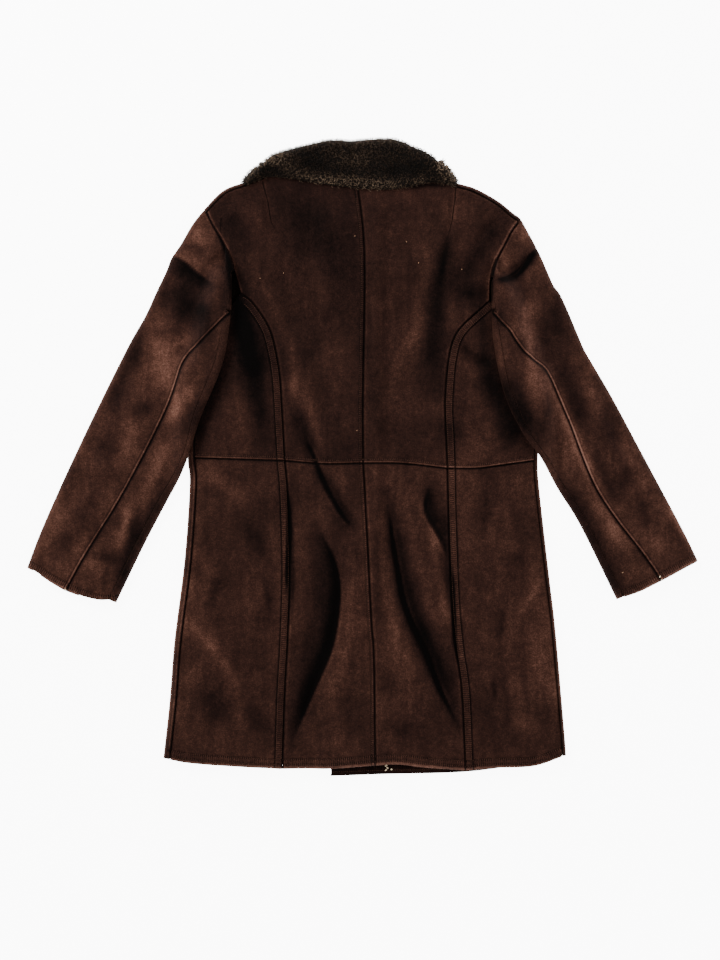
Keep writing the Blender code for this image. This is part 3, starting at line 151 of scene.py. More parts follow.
# all tables of lines are in millimetres: x and y of each point in turn
seamPoints = {
    "left": {
        "neck": (-146.5, 401, -130, 409.5, -103, 409, -40, 400, -8, 397),
        "outline": (-148.5, 406.5, -160, 402, -172, 397.5, -201, 386, -228.5, 358.5, -246, 337, -261.5,
                    310.5, -276, 290, -284, 270, -298, 241, -314.5, 205, -343, 154, -411, 15, -462, -98,
                    -485, -157.5),
        "armhole": (-224, 354, -215.5, 335.5, -201, 311.5, -190.5, 289, -185, 270, -176, 237.5),
        "armholeLow": (-176, 237.5, -190, 218, -207, 190, -219, 158, -234.5, 125),
        "armholeFront": (-224, 354, -206, 318, -197, 280, -199, 235, -222, 170, -234.5, 125),
        "princessUpper": (-176, 237.5, -157.5, 222.5, -135.5, 189, -125.5, 155.5, -119.5, 119.5, -116.5,
                          77.5, -112, -3),
        "princessLower": (-112, -3, -108, -53, -105, -162, -108, -260.5, -112.5, -346, -115.5, -447),
        "side": (-244.5, 125, -250, 70, -253, 26.5, -252.5, -7, -250, -38.5, -257.5, -147.5, -272, -263.5,
                 -279, -350.5, -288, -433),
        "waistInner": (-112, -3, -54.5, -7.5, 1, -6.5),
        "waistOuter": (-242.5, 1, -176, -1, -112, -3),
        "hemInner": (-115.5, -447, -48.5, -445.5, 18, -440.5),
        "hemOuter": (-278, -434.5, -250, -439, -182, -444, -115.5, -447),
        "sleeveInner": (-186.6, 268, -188, 254, -188, 229.5, -189.5, 202, -201, 135.5, -232.5, 58.5, -254.5,
                        -8.5, -282, -60.5, -314, -121.5, -356, -208.5),
        "elbow": (-190.3, 209.5, -199.2, 202, -208.5, 192.5, -237, 163, -257.5, 139.5, -279, 81.5, -314, 9,
                  -354.5, -65, -399.5, -137.5, -428.5, -190),
        "sleeveFront": (-234.5, 125, -262, 100, -287, 55, -320, 0, -365, -90, -418, -194),
        "sleeveLow": (-197, 252.5, -216.5, 190, -234.5, 125),
        "cuff": (-485, -157.5, -428.5, -190, -383.5, -207, -356, -208.5),
        "frontNeck": (-146.5, 401, -120, 365, -60, 340, 14, 333),
        "frontEdge": (14, 333, 14, -50, 14, -436),
        "frontHem": (-278, -434.5, -150, -440, 14, -436),
    },
    "right": {
        "neck": (110.5, 398.5, 98, 403, 69, 400.5, 30, 397, -8, 397),
        "outline": (112.5, 404, 127, 400, 141.5, 395.5, 163, 389, 195, 371.5, 217, 354, 228.5, 345.5, 238.5,
                    328, 256, 296, 268, 269, 276.5, 250, 286, 237, 296.5, 214.5, 311, 180, 321.5, 156, 336,
                    131, 363, 84.5, 409.5, -2.5, 460.5, -98, 485, -147.5),
        "armhole": (224, 340, 214, 325.5, 206.5, 310.5, 198, 295, 190.5, 279.5, 185, 258.5, 183.5, 226.5),
        "armholeLow": (183.5, 226.5, 199, 205, 214, 175, 227, 145, 240.5, 119.5),
        "armholeFront": (224, 340, 209, 308, 201, 270, 204, 225, 226, 165, 240.5, 119.5),
        "princessUpper": (183.5, 226.5, 145, 192, 131, 170, 124, 141, 121, 112, 119, 73, 121, 25, 122.5,
                          -14),
        "princessLower": (122.5, -14, 124, -83.5, 128.5, -202.5, 135, -275, 143.5, -337.5, 148.5, -449),
        "side": (246, 119.5, 251.5, 70, 254.5, 26.5, 253.5, -7, 256, -46, 270.5, -173.5, 279, -246, 292,
                 -394, 294.5, -429),
        "waistInner": (122.5, -14, 57.5, -7, 1, -6.5),
        "waistOuter": (248, -3, 199.5, -9.5, 164.5, -14, 122.5, -14),
        "hemInner": (148.5, -449, 86.5, -444.5, 54.5, -440.5, 18, -440.5),
        "hemOuter": (289, -431, 246, -444, 192, -446, 148.5, -449),
        "sleeveInner": (186.6, 260, 185, 247, 185.5, 213.5, 188, 167, 202.5, 96, 228.5, 39, 257.5, -1,
                        283.5, -46, 315.5, -98, 367.5, -204),
        "elbow": (186.9, 209.8, 200, 195, 211, 183.3, 218.2, 171.5, 231, 154, 245.8, 141.1, 267.5, 121, 298,
                  54, 340, -48, 408, -141.5, 431.5, -175.5),
        "sleeveFront": (240.5, 119.5, 266, 90, 292, 45, 325, -10, 372, -95, 422.5, -181),
        "sleeveLow": (194, 245.5, 216, 185, 240.5, 119.5),
        "cuff": (485, -147.5, 431.5, -175.5, 399.5, -192.5, 367.5, -204),
        "frontNeck": (110.5, 398.5, 85, 365, 30, 341, -45.5, 333),
        "frontEdge": (-45.5, 333, -45.5, -60, -45.5, -459),
        "frontHem": (289, -431, 246, -440.5, 150, -453.5, 27, -456.5, -45.5, -459),
    },
}
seams = {side: {name: lineOf(row) for name, row in lines.items()} for side, lines in seamPoints.items()}
centreUpper = lineOf((-8, 397, 0, 337, 3, 276, 2, 171.5, 0.5, 84.5, 1, -6.5))
centreLower = lineOf((1, -6.5, 6, -99.5, 12.5, -231.5, 16.5, -289.5, 18, -440.5))
shoulderShare = {"left": seams["left"]["outline"].shareOf((-0.2285, 0.3585)),
                 "right": seams["right"]["outline"].shareOf((0.2285, 0.3455))}

# folds and creases: height (below nought is a trough), half width, points
bodyFolds = (
    (-3, 9, -68, -96.5, -38.5, -157.5, -34, -181, -45.5, -255, -72.5, -331.5, -102, -413),
    (3, 16, -48, -105, -14, -170, -18, -250, -48, -350),
    (-3, 9, 32.5, -49, 47, -131.5, 66, -217, 95, -284, 135.5, -384),
    (3, 16, 83.5, -65, 101, -117, 112, -202.5, 122, -262),
    (-2.5, 6, -65, -11, -48.5, -40, -11, -99.5),
    (-2, 10, -96.5, 55.5, -69, 5),
    (-2.5, 7, -103, -46, -98.5, -140, -100, -234.5),
    (-2.5, 7, 103.5, -46, 118, -117),
    (-2, 5, -145.5, 409.5, -138.5, 377.5, -130, 335.5, -124, 309.5),
    (-2, 5, 135, 396.5, 131, 363, 121, 310.5, 111, 268.5),
    (-2, 8, 196.5, 342.5, 176, 326.5, 164.5, 305),
    (-2.5, 7, 143.5, 164.5, 151.5, 152.5, 166, 141, 185, 136),
)
sleeveFolds = {
    "left": (
        (-4, 9, -285.5, 292, -247, 273, -217, 251.5),
        (4, 18, -262, 312, -232, 300, -210, 285),
        (3, 20, -300, 120, -330, 50, -380, -40),
        (-2, 8, -400, -60, -370, -80, -350, -105),
    ),
    "right": (
        (-4.5, 9, 260, 303, 228.5, 274.5, 199.5, 255.5),
        (4, 18, 247, 322, 226, 302, 208, 288),
        (-3.5, 6, 206, 120, 224, 78, 240, 45, 256, 6),
        (3, 20, 310, 110, 345, 40, 390, -40),
        (-2, 8, 410, -50, 385, -75, 365, -105),
    ),
}


# the share of its length over which each fold rises at its two ends
foldEnds = 0.18


def foldsAt(x, y, rows):
    total = np.zeros(np.shape(x))
    for height, width, line in rows:
        gap, share, _ = line.nearest(x, y)
        ends = foldEnds
        total += height * ease(share / ends) * ease((1 - share) / ends) * bell(gap, width)
    return total


bodyFoldLines = softLines(bodyFolds)
sleeveFoldLines = bothSides(softLines, sleeveFolds)


def ripple(x, y, size, seed):
    # soft unevenness from a few crossed waves, from -1 to 1
    generator = np.random.default_rng(seed)
    total = np.zeros(np.shape(x))
    for _ in range(9):
        angle, phase = generator.uniform(0, 2 * math.pi, 2)
        length = size * generator.uniform(0.6, 1.7)
        bend = 0.35 * size * np.sin((x * math.sin(angle) - y * math.cos(angle)) * 2.1 / size + phase)
        total += np.sin((x * math.cos(angle) + y * math.sin(angle) + bend) * 2 * math.pi / length + phase)
    return total / 4.5


def outward(line, share, side):
    run = line.direction(share)
    turn = -1 if side == "left" else 1
    return np.stack((run[..., 1], -run[..., 0]), axis=-1) * -turn


def neckLiftAt(x, y):
    reach = np.hypot((x + 0.018) / 0.160, (y - 0.365) / 0.092)
    return cloth["neckLift"] * (1 - ease((reach - 1) / 0.9))


def neckSagAt(x, y):
    return cloth["neckSag"] * bell(x + 0.008, 0.070) * ease((y - 0.385) / 0.055)


def lapRise(x):
    return ease((x - cloth["lapLeft"] + cloth["lapSlope"] + 0.005) / cloth["lapSlope"])


def underBack(x, y):
    lap = lapRise(x) * (1 - ease((x - cloth["lapRight"] - 0.001) / cloth["lapSlope"]))
    lap = lap * ease((cloth["lapTop"] - y) / cloth["lapFade"])
    lift = neckLiftAt(x, y) / cloth["neckLift"]
    spare = cloth["slack"] * (lap * (1 - lap) + lift * (1 - lift))
    rise = (cloth["wall"] + 1.5 * cloth["layerGap"]) * lap
    return lift * cloth["neckLift"] + cloth["wall"] + rise + spare - neckSagAt(x, y)


def backTop(x, y):
    gap = np.minimum(seams["left"]["side"].nearest(x, y)[0], seams["right"]["side"].nearest(x, y)[0])
    puff = cloth["backPuff"] * ease(gap / cloth["puffFade"])
    puff = puff * ease((cloth["neckY"] - 0.005 - y) / cloth["puffFade"])
    fold = foldsAt(x, y, bodyFoldLines) * ease((cloth["neckY"] - y) / 0.020)
    return underBack(x, y) + cloth["layerGap"] + cloth["wall"] + np.maximum(puff + fold, 0.0)


def bodyCover(x, y, side, upper):
    lines, turn = seams[side], -1 if side == "left" else 1
    gap, share, _ = lines["side"].nearest(x, y)
    underarm = lines["side"].points[0, 1]
    inside = ((x - lines["side"].at(share)[..., 0]) * turn < 0) & (y <= underarm + 0.010)
    if upper:
        lowGap, lowShare, _ = lines["sleeveLow"].nearest(x, y)
        past = (x - lines["sleeveLow"].at(lowShare)[..., 0]) * turn < 0
        inside = np.where(y > underarm, past, inside)
        gap = np.minimum(gap, lowGap)
    reach = cloth["sleeveClimb"] + (cloth["sleeveTent"] if upper else 0.0)
    return np.where(inside, 1.0, 1 - ease(gap / reach))


def sleeveBottom(x, y, side, onBody=False):
    cover = bodyCover(x, y, side, False)
    if onBody:
        return np.where(y > seams[side]["side"].points[0, 1], 1.0, cover) * sleeveBed
    return cover * sleeveBed + (1 - cover) * neckLiftAt(x, y)


def sleeveTop(x, y, side):
    lines = seams[side]
    gap = np.minimum(lines["outline"].nearest(x, y)[0], lines["sleeveInner"].nearest(x, y)[0])
    topOfCover = lines["sleeveInner"].points[0, 1]
    cover = bodyCover(x, y, side, True) * ease((topOfCover + cloth["capRise"] - y) / cloth["capRise"])
    puff = cloth["sleevePuff"] * ease(gap / cloth["puffFade"])
    fold = foldsAt(x, y, sleeveFoldLines[side])
    level = cover * (sleeveBed + cloth["layerGap"]) + cloth["tentRise"] * cover * (1 - cover)
    return level + neckLiftAt(x, y) + double + np.maximum(puff + fold, 0.0)


def raisedBand(gap, width):
    # a folded seam allowance, held down along the seam and along its stitching
    return cloth["bandHeight"] * (ease(gap / 0.0022) - ease((gap - width + 0.0016) / 0.0030))


def seamDip(gap, depth=0.0016, width=0.0026):
    return -depth * (1 - ease(gap / width))


# grids


def coons(sides, across, along):
    u = across[..., None]
    v = np.broadcast_to(along[:, None], across.shape)[..., None]
    grid = (1 - u) * sides["outer"](along)[:, None] + u * sides["inner"](along)[:, None]
    for name, weight in (("top", 1 - v), ("bottom", v)):
        start, end = sides[name](np.array([0.0, 1.0]))
        grid = grid + weight * (sides[name](across) - (1 - u) * start - u * end)
    return grid


def partOf(line, start, end):
    return lambda share: line.at(start + (end - start) * np.asarray(share, float))


def straight(start, end):
    return lambda share: start + np.asarray(share, float)[..., None] * (end - start)


def chain(*stretches):
    def read(share):
        share = np.asarray(share, float)
        found = np.zeros(share.shape + (2,))
        start = 0.0
        for stretch, end in stretches:
            inside = (share >= start) & (share <= end)
            found[inside] = stretch((share[inside] - start) / (end - start))
            start = end
        return found
    return read


def stops(widths, nearOuter, nearInner, step, corner=None):
    # shares across each row: fixed distances by both edges, even steps between, one stop on the corner
    widths = np.asarray(widths, float)
    fixed = max(nearOuter[-1] + nearInner[-1], 1e-9)
    scale = np.minimum(1.0, 0.6 * widths / fixed)
    first = np.array(nearOuter)[None] * (scale / widths)[:, None]
    last = 1 - np.array(nearInner)[None, ::-1] * (scale / widths)[:, None]
    count = max(2, round((widths.max() - nearOuter[-1] - nearInner[-1]) / step))
    even = np.linspace(0, 1, count + 1)[None, 1:-1]
    middle = first[:, -1:] + (last[:, :1] - first[:, -1:]) * even
    shares = np.concatenate((first, middle, last), axis=1)
    if corner is None:
        return shares
    place = int(np.abs(shares[0] - corner).argmin())
    return shares, shares[0, place]


def rowStops(length, step, nearFirst, nearLast):
    count = max(2, round((length - nearFirst[-1] - nearLast[-1]) / step))
    middle = nearFirst[-1] + (length - nearFirst[-1] - nearLast[-1]) * np.linspace(0, 1, count + 1)[1:-1]
    return np.concatenate((nearFirst, middle, length - np.array(nearLast)[::-1])) / length


nearSeam = (0.00015, 0.0007, 0.0014, 0.0022, 0.0034)
nearPrincess = (0.00015, 0.0007, 0.0014, 0.0022, 0.0036, 0.0054, 0.0070, 0.0082, 0.0092, 0.0100,
                0.0108, 0.0116, 0.0130)
nearCentre = (0.00015, 0.0007, 0.0014, 0.0022, 0.0030, 0.0038, 0.0046, 0.0054, 0.0064, 0.0080)
nearHem = (0.0, 0.0012, 0.0026, 0.0040, 0.0050, 0.0062, 0.0082, 0.0100, 0.0112, 0.0122, 0.0132,
           0.0145, 0.0170)
nearWaist = (0.00015, 0.0007, 0.0014, 0.0022, 0.0032, 0.0042, 0.0052, 0.0062, 0.0078)


def withLevels(grid, top, relief):
    outer = np.concatenate((grid, (top + relief)[..., None]), axis=-1)
    inner = np.concatenate((grid, (top - cloth["wall"])[..., None]), axis=-1)
    return outer, inner


def lowerLevels(grid, bottom):
    outer = np.concatenate((grid, bottom[..., None]), axis=-1)
    return outer, outer + np.array((0, 0, cloth["wall"]))


def rolled(linePoints, normals, bottom, top, width, relief=0.0, turns=12):
    angles = np.linspace(-math.pi / 2, math.pi / 2, turns + 1)
    width = np.broadcast_to(width, bottom.shape)
    wall = cloth["wall"]
    grids = []
    for reach, low, high in ((width, bottom, top + relief),
                             (np.maximum(width - wall, 0.0004), bottom + wall, top - wall)):
        flat = linePoints[:, None] + normals[:, None] * (reach[:, None] * np.cos(angles))[..., None]
        level = (low + high)[:, None] / 2 + (high - low)[:, None] / 2 * np.sin(angles)
        grids.append(np.concatenate((flat, level[..., None]), axis=-1))
    return grids[0], grids[1]


def sideWidth(side, share):
    return cloth["sideFold"][side] * (0.75 + 0.25 * ease(share / 0.1))


def sideLine(side, share):
    line = seams[side]["side"]
    width = sideWidth(side, np.asarray(share, float))
    return line.at(share) - outward(line, share, side) * width[..., None]


def outlineWidth(side, share):
    blend = ease((np.asarray(share, float) - shoulderShare[side]) / 0.10)
    return cloth["shoulderFold"] + (cloth["sleeveFold"] - cloth["shoulderFold"]) * blend


def outlineLine(side, share):
    line = seams[side]["outline"]
    return line.at(share) - outward(line, share, side) * outlineWidth(side, share)[..., None]


def shoulderLine(side, share):
    return outlineLine(side, shoulderShare[side] * (1 - np.asarray(share, float)))


def sleeveInnerWidth(share):
    share = np.asarray(share, float)
    crotch = bell(share - 0.53, 0.10)
    return cloth["sleeveFold"] * (1 - 0.35 * crotch) * (0.15 + 0.85 * ease(share / 0.20))


def sleeveInnerLine(side, share):
    line = seams[side]["sleeveInner"]
    return line.at(share) + outward(line, share, side) * sleeveInnerWidth(share)[..., None]


def distance(a, b):
    return np.linalg.norm(a - b, axis=-1)


# walls


def newPiece(name, verts, faces, material=None, smooth=False, edges=()):
    mesh = bpy.data.meshes.new(name)
    mesh.from_pydata(verts, edges, faces)
    if material:
        mesh.materials.append(material)
    if smooth:
        mesh.polygons.foreach_set("use_smooth", np.ones(len(mesh.polygons), bool))
    return linked(name, mesh)


def linked(name, mesh):
    piece = bpy.data.objects.new(name, mesh)
    bpy.context.scene.collection.objects.link(piece)
    return piece


def dress(piece, node=None):
    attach(piece, "root")
    if node:
        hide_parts(node)


def store(piece, **values):
    for name, value in values.items():
        piece.data.attributes.new(name, "FLOAT", "POINT").data.foreach_set("value", value.astype(np.float32))


def tubeFaces(rings, around):
    # the faces of a closed tube whose rings follow each other in the list of vertices
    faces = [(r * around + k, r * around + (k + 1) % around, (r + 1) * around + (k + 1) % around,
              (r + 1) * around + k) for r in range(rings - 1) for k in range(around)]
    return faces + [tuple(reversed(range(around))), tuple(range((rings - 1) * around, rings * around))]


def buildWall(name, patches, rimBulge, material):
    # one closed wall of sheepskin: skin outside, wool inside, and a rounded rim round its edge
    outers, inners, quads, start = [], [], [], 0
    for outer, inner in patches:
        rows, columns = outer.shape[:2]
        index = np.arange(rows * columns).reshape(rows, columns) + start
        quads.append(np.stack((index[:-1, :-1], index[:-1, 1:], index[1:, 1:], index[1:, :-1]),
                              axis=-1).reshape(-1, 4))
        outers.append(outer.reshape(-1, 3))
        inners.append(inner.reshape(-1, 3))
        start += rows * columns
    outer, inner, faces = np.vstack(outers), np.vstack(inners), np.vstack(quads)
    _, first, back = np.unique(np.round(outer, 6), axis=0, return_index=True, return_inverse=True)
    outer, inner, faces = outer[first], inner[first], back.reshape(-1)[faces]
    corners = outer[faces]
    normal = np.cross(corners[:, 2] - corners[:, 0], corners[:, 3] - corners[:, 1])
    middle = (outer[faces].mean(axis=1) - inner[faces].mean(axis=1))
    if ((normal * middle).sum(axis=1) < 0).mean() > 0.5:
        faces = faces[:, ::-1]
    edges = np.concatenate([faces[:, [k, (k + 1) % 4]] for k in range(4)])
    edges = edges[edges[:, 0] != edges[:, 1]]
    keys = edges[:, 0] * len(outer) + edges[:, 1]
    mates = edges[:, 1] * len(outer) + edges[:, 0]
    rim = edges[~np.isin(keys, mates)]
    away = np.zeros((len(outer), 3))
    run = outer[rim[:, 1]] - outer[rim[:, 0]]
    through = (outer[rim[:, 0]] - inner[rim[:, 0]])
    push = np.cross(run, through)
    push /= np.maximum(np.linalg.norm(push, axis=1, keepdims=True), 1e-12)
    np.add.at(away, rim[:, 0], push)
    np.add.at(away, rim[:, 1], push)
    away /= np.maximum(np.linalg.norm(away, axis=1, keepdims=True), 1e-12)
    rimVerts = np.unique(rim)
    place = np.full(len(outer), -1)
    place[rimVerts] = np.arange(len(rimVerts))
    bulge = rimBulge(outer[rimVerts])
    layers = [rimVerts]
    verts = [outer, inner]
    base = 2 * len(outer)
    turns = 5
    for step in range(1, turns):
        angle = math.pi * step / turns
        level = (1 - math.cos(angle)) / 2
        points = outer[rimVerts] * (1 - level) + inner[rimVerts] * level
        verts.append(points + away[rimVerts] * (bulge * math.sin(angle))[:, None])
        layers.append(np.arange(len(rimVerts)) + base)
        base += len(rimVerts)
    layers.append(rimVerts + len(outer))
    rimFaces = []
    a, b = place[rim[:, 0]], place[rim[:, 1]]
    for low, high in zip(layers, layers[1:]):
        rimFaces.append(np.stack((low[b], low[a], high[a], high[b]), axis=-1))
    rimFaces = np.vstack(rimFaces)
    innerFaces = faces[:, ::-1] + len(outer)
    allVerts = np.vstack(verts)
    allFaces = np.vstack((faces, rimFaces, innerFaces))
    faceLists = [list(dict.fromkeys(face)) for face in allFaces.tolist()]
    piece = newPiece(name, allVerts.tolist(), faceLists, material, smooth=True)
    wool = np.concatenate((np.zeros(len(faces) + len(rimFaces)), np.ones(len(innerFaces))))
    piece.data.materials.append(woolMaterial)
    piece.data.polygons.foreach_set("material_index", wool.astype(np.int32))
    piece.data.validate()
    print("coat:", name, len(piece.data.polygons), "faces")
    return piece


# relief of the skin


skin = {
    "rippleSmall": 0.00050, "rippleLarge": 0.0011, "pucker": 0.00055, "puckerPitch": 0.0062,
    "edgeDip": 0.0022, "foldDepth": 0.0011, "foldRidge": 0.0016,
}
creases = (
    (-1.6, 4, -66, -8.5, -48.5, -40, -31, -67.5, -22.5, -85, -11, -99.5),
    (1.2, 5, -40, -72, -30, -88, -22, -100),
    (-1.2, 4.5, -68, -97, -51.5, -125.5, -38.5, -158, -34, -181, -37, -214, -45.5, -255, -57, -290, -72.5,
     -331.5, -88, -375, -102, -413),
    (-1.2, 4.5, 32.5, -49, 41.5, -88, 47, -131.5, 55, -175, 66, -217, 80.5, -255, 95, -284, 106.5, -317,
     121, -352, 135.5, -384),
    (-1.2, 6, 103.5, -46, 111, -80, 118, -117),
    (1.3, 5, 83.5, -65, 101, -117, 118, -202.5, 130, -260),
    (-1.5, 5, 196.5, 342.5, 176, 326.5, 164.5, 305),
    (-1.4, 4.5, 143.5, 164.5, 151.5, 152.5, 166, 141, 185, 136),
    (-1.2, 4, 186, 134, 188.5, 100, 190, 57),
    (-1, 3.5, 189, -318, 193.5, -345),
    (-1.2, 6, -96.5, 55.5, -82, 30, -69, 5),
    (1, 7, -80, 45, -60, 12),
)
creaseLines = softLines(creases)
sleeveCreases = {
    "left": (
        (-1.6, 5, -277.5, 292, -264.5, 286, -247, 273, -231, 263, -216.5, 251.5),
        (-1.2, 8, -330, 110, -312, 98, -290, 94),
        (-1.2, 9, -390, -20, -360, -36, -330, -40),
        (-1, 6, -300, 180, -285, 160, -272, 130),
    ),
    "right": (
        (-1.8, 5, 253, 300.5, 240, 291.5, 228.5, 274.5, 215.5, 263, 199.5, 255.5, 186.5, 254),
        (-1.4, 5, 206, 120, 217.5, 93, 229, 65, 240, 45, 250, 20),
        (-1.2, 8, 330, 120, 312, 108, 292, 102),
        (-1.2, 9, 395, -10, 368, -30, 340, -40),
    ),
}
sleeveCreaseLines = bothSides(softLines, sleeveCreases)


# sharp folds: strength of the painted shade, how far it fades, the painted highlight on the ridge, which
# side it fades to, its line
sharpFolds = (
    (1.9, 7.6, 0.45, -1, -66.8, -90.9, -53.4, -120.5, -42.8, -141.7, -35.5, -169.2, -33.3, -196, -37.1,
     -238.8, -45.2, -276.5, -58.7, -309.1, -77.6, -351.9, -93.7, -389.6, -107.2, -416.9),
    (2.5, 3.5, 0.45, -1, 32.8, -53.2, 39.3, -82.8, 44.7, -120.5, 51.6, -158.2, 59.7, -201.1, 73.2, -238.8,
     92.1, -276.5, 105.6, -314.2, 116.3, -341.3, 135.1, -379, 143.3, -396.9),
    (1.5, 4.5, 0.4, -1, -85.7, 35.7, -69.5, 3.3, -53.4, -34.4, -37.1, -66.7, -21, -90.9, -8, -101.6),
    (1.2, 4, 0.35, 1, 97.4, -37.3, 89.5, -66.7, 94.8, -88, 110.9, -115.1, 124.4, -147.5),
    (2.2, 2, 0, -1, 126.9, -147.5, 131.2, -183.7, 133.4, -222.9, 135.1, -265.9, 139.9, -304.1),
    (2.6, 1.2, 0.25, 1, -108.7, -41.6, -107.2, -60.5, -107.4, -104, -108.9, -147.5, -109.9, -201.1),
)
sharpLines = sharpLinesOf(sharpFolds)
sharpSleeveFolds = {
    "left": (
        (1.1, 20, 0.5, -1, -284.9, 293.3, -270.4, 289.7, -253, 278.8, -235.6, 264.3, -212.4, 245.5),
    ),
    "right": (
        (2.8, 3.5, 0.5, 1, 257, 301, 246.5, 296, 236, 283, 224, 270, 210, 260.5, 199, 257, 189, 255),
    ),
}
sharpSleeveLines = bothSides(sharpLinesOf, sharpSleeveFolds)


# the two short darts from the shoulders down the back
darts = {
    "left": (-143.6, 399, -142.8, 393, -138.9, 378.5, -135.7, 365.8, -133.4, 350, -130.2, 337.4, -124,
             326.3),
    "right": (134.7, 394, 133.7, 381.6, 132.4, 367.4, 130.5, 351.6, 128.5, 339, 124.8, 326.3, 122.1, 315.2),
}
dartLines = bothSides(lineOf, darts)
dartSize = {"wide": 0.00105, "deep": 0.00016, "dip": 0.0013, "rim": 0.35, "reach": 0.0045}


def dartRim(x, y, side, reach):
    gap, share, _ = dartLines[side].nearest(x, y)
    return bell(gap, reach) * ease((1 - share) / 0.3)


def foldShade(x, y, rows):
    # how dark and how light each sharp fold paints its two sides, as painted shade and painted highlight;
    # the relief reuses the same amounts
    dark, light = np.zeros(np.shape(x)), np.zeros(np.shape(x))
    for depth, soft, ridge, lean, line in rows:
        gap, share, turn = line.nearest(x, y)
        place = gap * np.sign(turn) * lean
        ends = ease(share / 0.24) * ease((1 - share) / 0.24)
        # a narrow core, sharp at the ridge and fading away from it
        core = 0.0010 + 0.0030 * ease(share / 0.5) * ease((1 - share) / 0.4)
        shade = np.where(place < 0, bell(place, 0.0012),
                         0.55 * np.exp(-(np.maximum(place - core, 0) / soft))
                         + 0.45 * (1 - ease((place - core) / 0.0025)))
        dark += depth * ends * shade * (gap < 7 * soft + 0.010)
        light += ridge * ends * bell(place + 0.0042, 0.0030)
    return dark, light


def seeded(first, side):
    return first + (side == "right")


def unevenness(x, y, seed):
    small = ripple(x, y, 0.030, seed)
    large = ripple(x, y, 0.085, seed + 1)
    return skin["rippleSmall"] * small + skin["rippleLarge"] * large


def pucker(gap, along, width=0.009, pitch=None, height=None, seed=3):
    # short waves square to a seam, drawn up by its thread
    pitch, height = pitch or skin["puckerPitch"], height or skin["pucker"]
    wander = 0.8 * np.sin(along * 41 + seed) + 0.6 * np.sin(along * 97 + 2 * seed)
    strength = 0.55 + 0.45 * np.sin(along * 23 + seed) * np.sin(along * 61 + 1.7 * seed)
    wave = np.sin(along * 2 * math.pi / pitch + wander)
    return height * strength * wave * bell(gap, width)


# how far each row of stitching lies from its seam or edge
sewing = {"princess": 0.0020, "princessFar": 0.0094, "centre": 0.0047, "waist": 0.0042,
          "hem": 0.0125, "edge": 0.0050, "cuff": 0.0100}


def lineDip(gap, depth=0.0007, width=0.0011):
    return -depth * bell(gap, width)


def hemEdge(gap, along, seed):
    # the turned hem: two rows of stitching, puckers between them, and a rounded edge
    relief = 0.0008 * (1 - ease((gap - 0.0115) / 0.004))
    relief += lineDip(gap - sewing["hem"], 0.0011, 0.0013) + lineDip(gap - sewing["edge"], 0.0008)
    relief -= skin["edgeDip"] * (1 - ease(gap / 0.0038))
    ticks = pucker(np.abs(gap - 0.0090), along, 0.0050, 0.0055, 0.00075, seed)
    return relief + ticks


def backRelief(x, y, side, seed):
    sideGap = np.minimum(seams["left"]["side"].nearest(x, y)[0], seams["right"]["side"].nearest(x, y)[0])
    inside = ease((sideGap - 0.008) / 0.020)
    neckFade = ease((0.392 - y) / 0.020)
    dark, light = foldShade(x, y, sharpLines)
    folds = foldsAt(x, y, creaseLines) - skin["foldDepth"] * np.minimum(dark, 2) + skin["foldRidge"] * light
    dart = dartSize["dip"] * dartRim(x, y, side, dartSize["reach"])
    return (unevenness(x, y, seed) + folds) * inside * neckFade - dart


def seamRelief(x, y, side, upper):
    # the seams, raised bands, topstitching and puckers of one back panel
    lines = seams[side]
    relief = np.zeros(np.shape(x))
    centre = centreUpper if upper else centreLower
    princess = lines["princessUpper" if upper else "princessLower"]
    gap, share, _ = centre.nearest(x, y)
    below = ease((0.384 - y) / 0.012)
    relief += seamDip(gap) + pucker(gap, share * centre.length, 0.008, 0.008, 0.0003, 1)
    if side == "left":
        relief += (raisedBand(gap, cloth["centreBand"]) + lineDip(gap - sewing["centre"])) * below
    relief += sewn(princess, x, y, (), (0.008, 0.009, 0.0003, 2))
    for name, seed in (("waistInner", 4), ("waistOuter", 5)):
        line = lines[name]
        gap, share, _ = line.nearest(x, y)
        relief += seamDip(gap, 0.0007 if upper else 0.0014, 0.0018)
        relief += pucker(gap, share * line.length, 0.010, 0.0060, 0.0006, seed)
        if upper:
            relief += raisedBand(gap, cloth["waistBand"]) + lineDip(gap - sewing["waist"])
    return relief


def princessBandRelief(gap, share):
    # the wide stitched band beside a princess seam, on the side panel
    fade = ease(share / 0.12)
    return (raisedBand(gap, cloth["princessBand"]) + lineDip(gap - 0.0016, 0.0005)
            + lineDip(gap - cloth["princessBand"], 0.0009)) * fade


# panels


def capShare(side):
    # the share of the armhole seam down to where the sleeve's edge leaves it
    return seams[side]["armhole"].shareAtY(seams[side]["sleeveInner"].points[0, 1])


# where the elbow seam comes out from under the sleeve's inner edge
elbowTopY = {"left": 0.2105, "right": 0.2110}


def edgeShare(side):
    # the share of the sleeve's inner edge down to there
    return seams[side]["sleeveInner"].shareAtY(elbowTopY[side])


def waistShare(side):
    return seams[side]["side"].shareAtY(seams[side]["waistOuter"].points[0, 1])


def widthsOf(sides, along):
    return distance(sides["inner"](along), sides["outer"](along))


def backSkin(sides, across, along, side, seed, upper):
    grid = coons(sides, across, along)
    x, y = grid[..., 0], grid[..., 1]
    return grid, x, y, backRelief(x, y, side, seeded(seed, side)) + seamRelief(x, y, side, upper)


def sewn(line, x, y, dip, waves):
    # the dip and puckers along one seam
    gap, share, _ = line.nearest(x, y)
    return seamDip(gap, *dip) + pucker(gap, share * line.length, *waves)


def finished(edge, line, x, y, seed):
    # a hem or cuff along one line
    gap, share, _ = line.nearest(x, y)
    return edge(gap, share * line.length, seed)


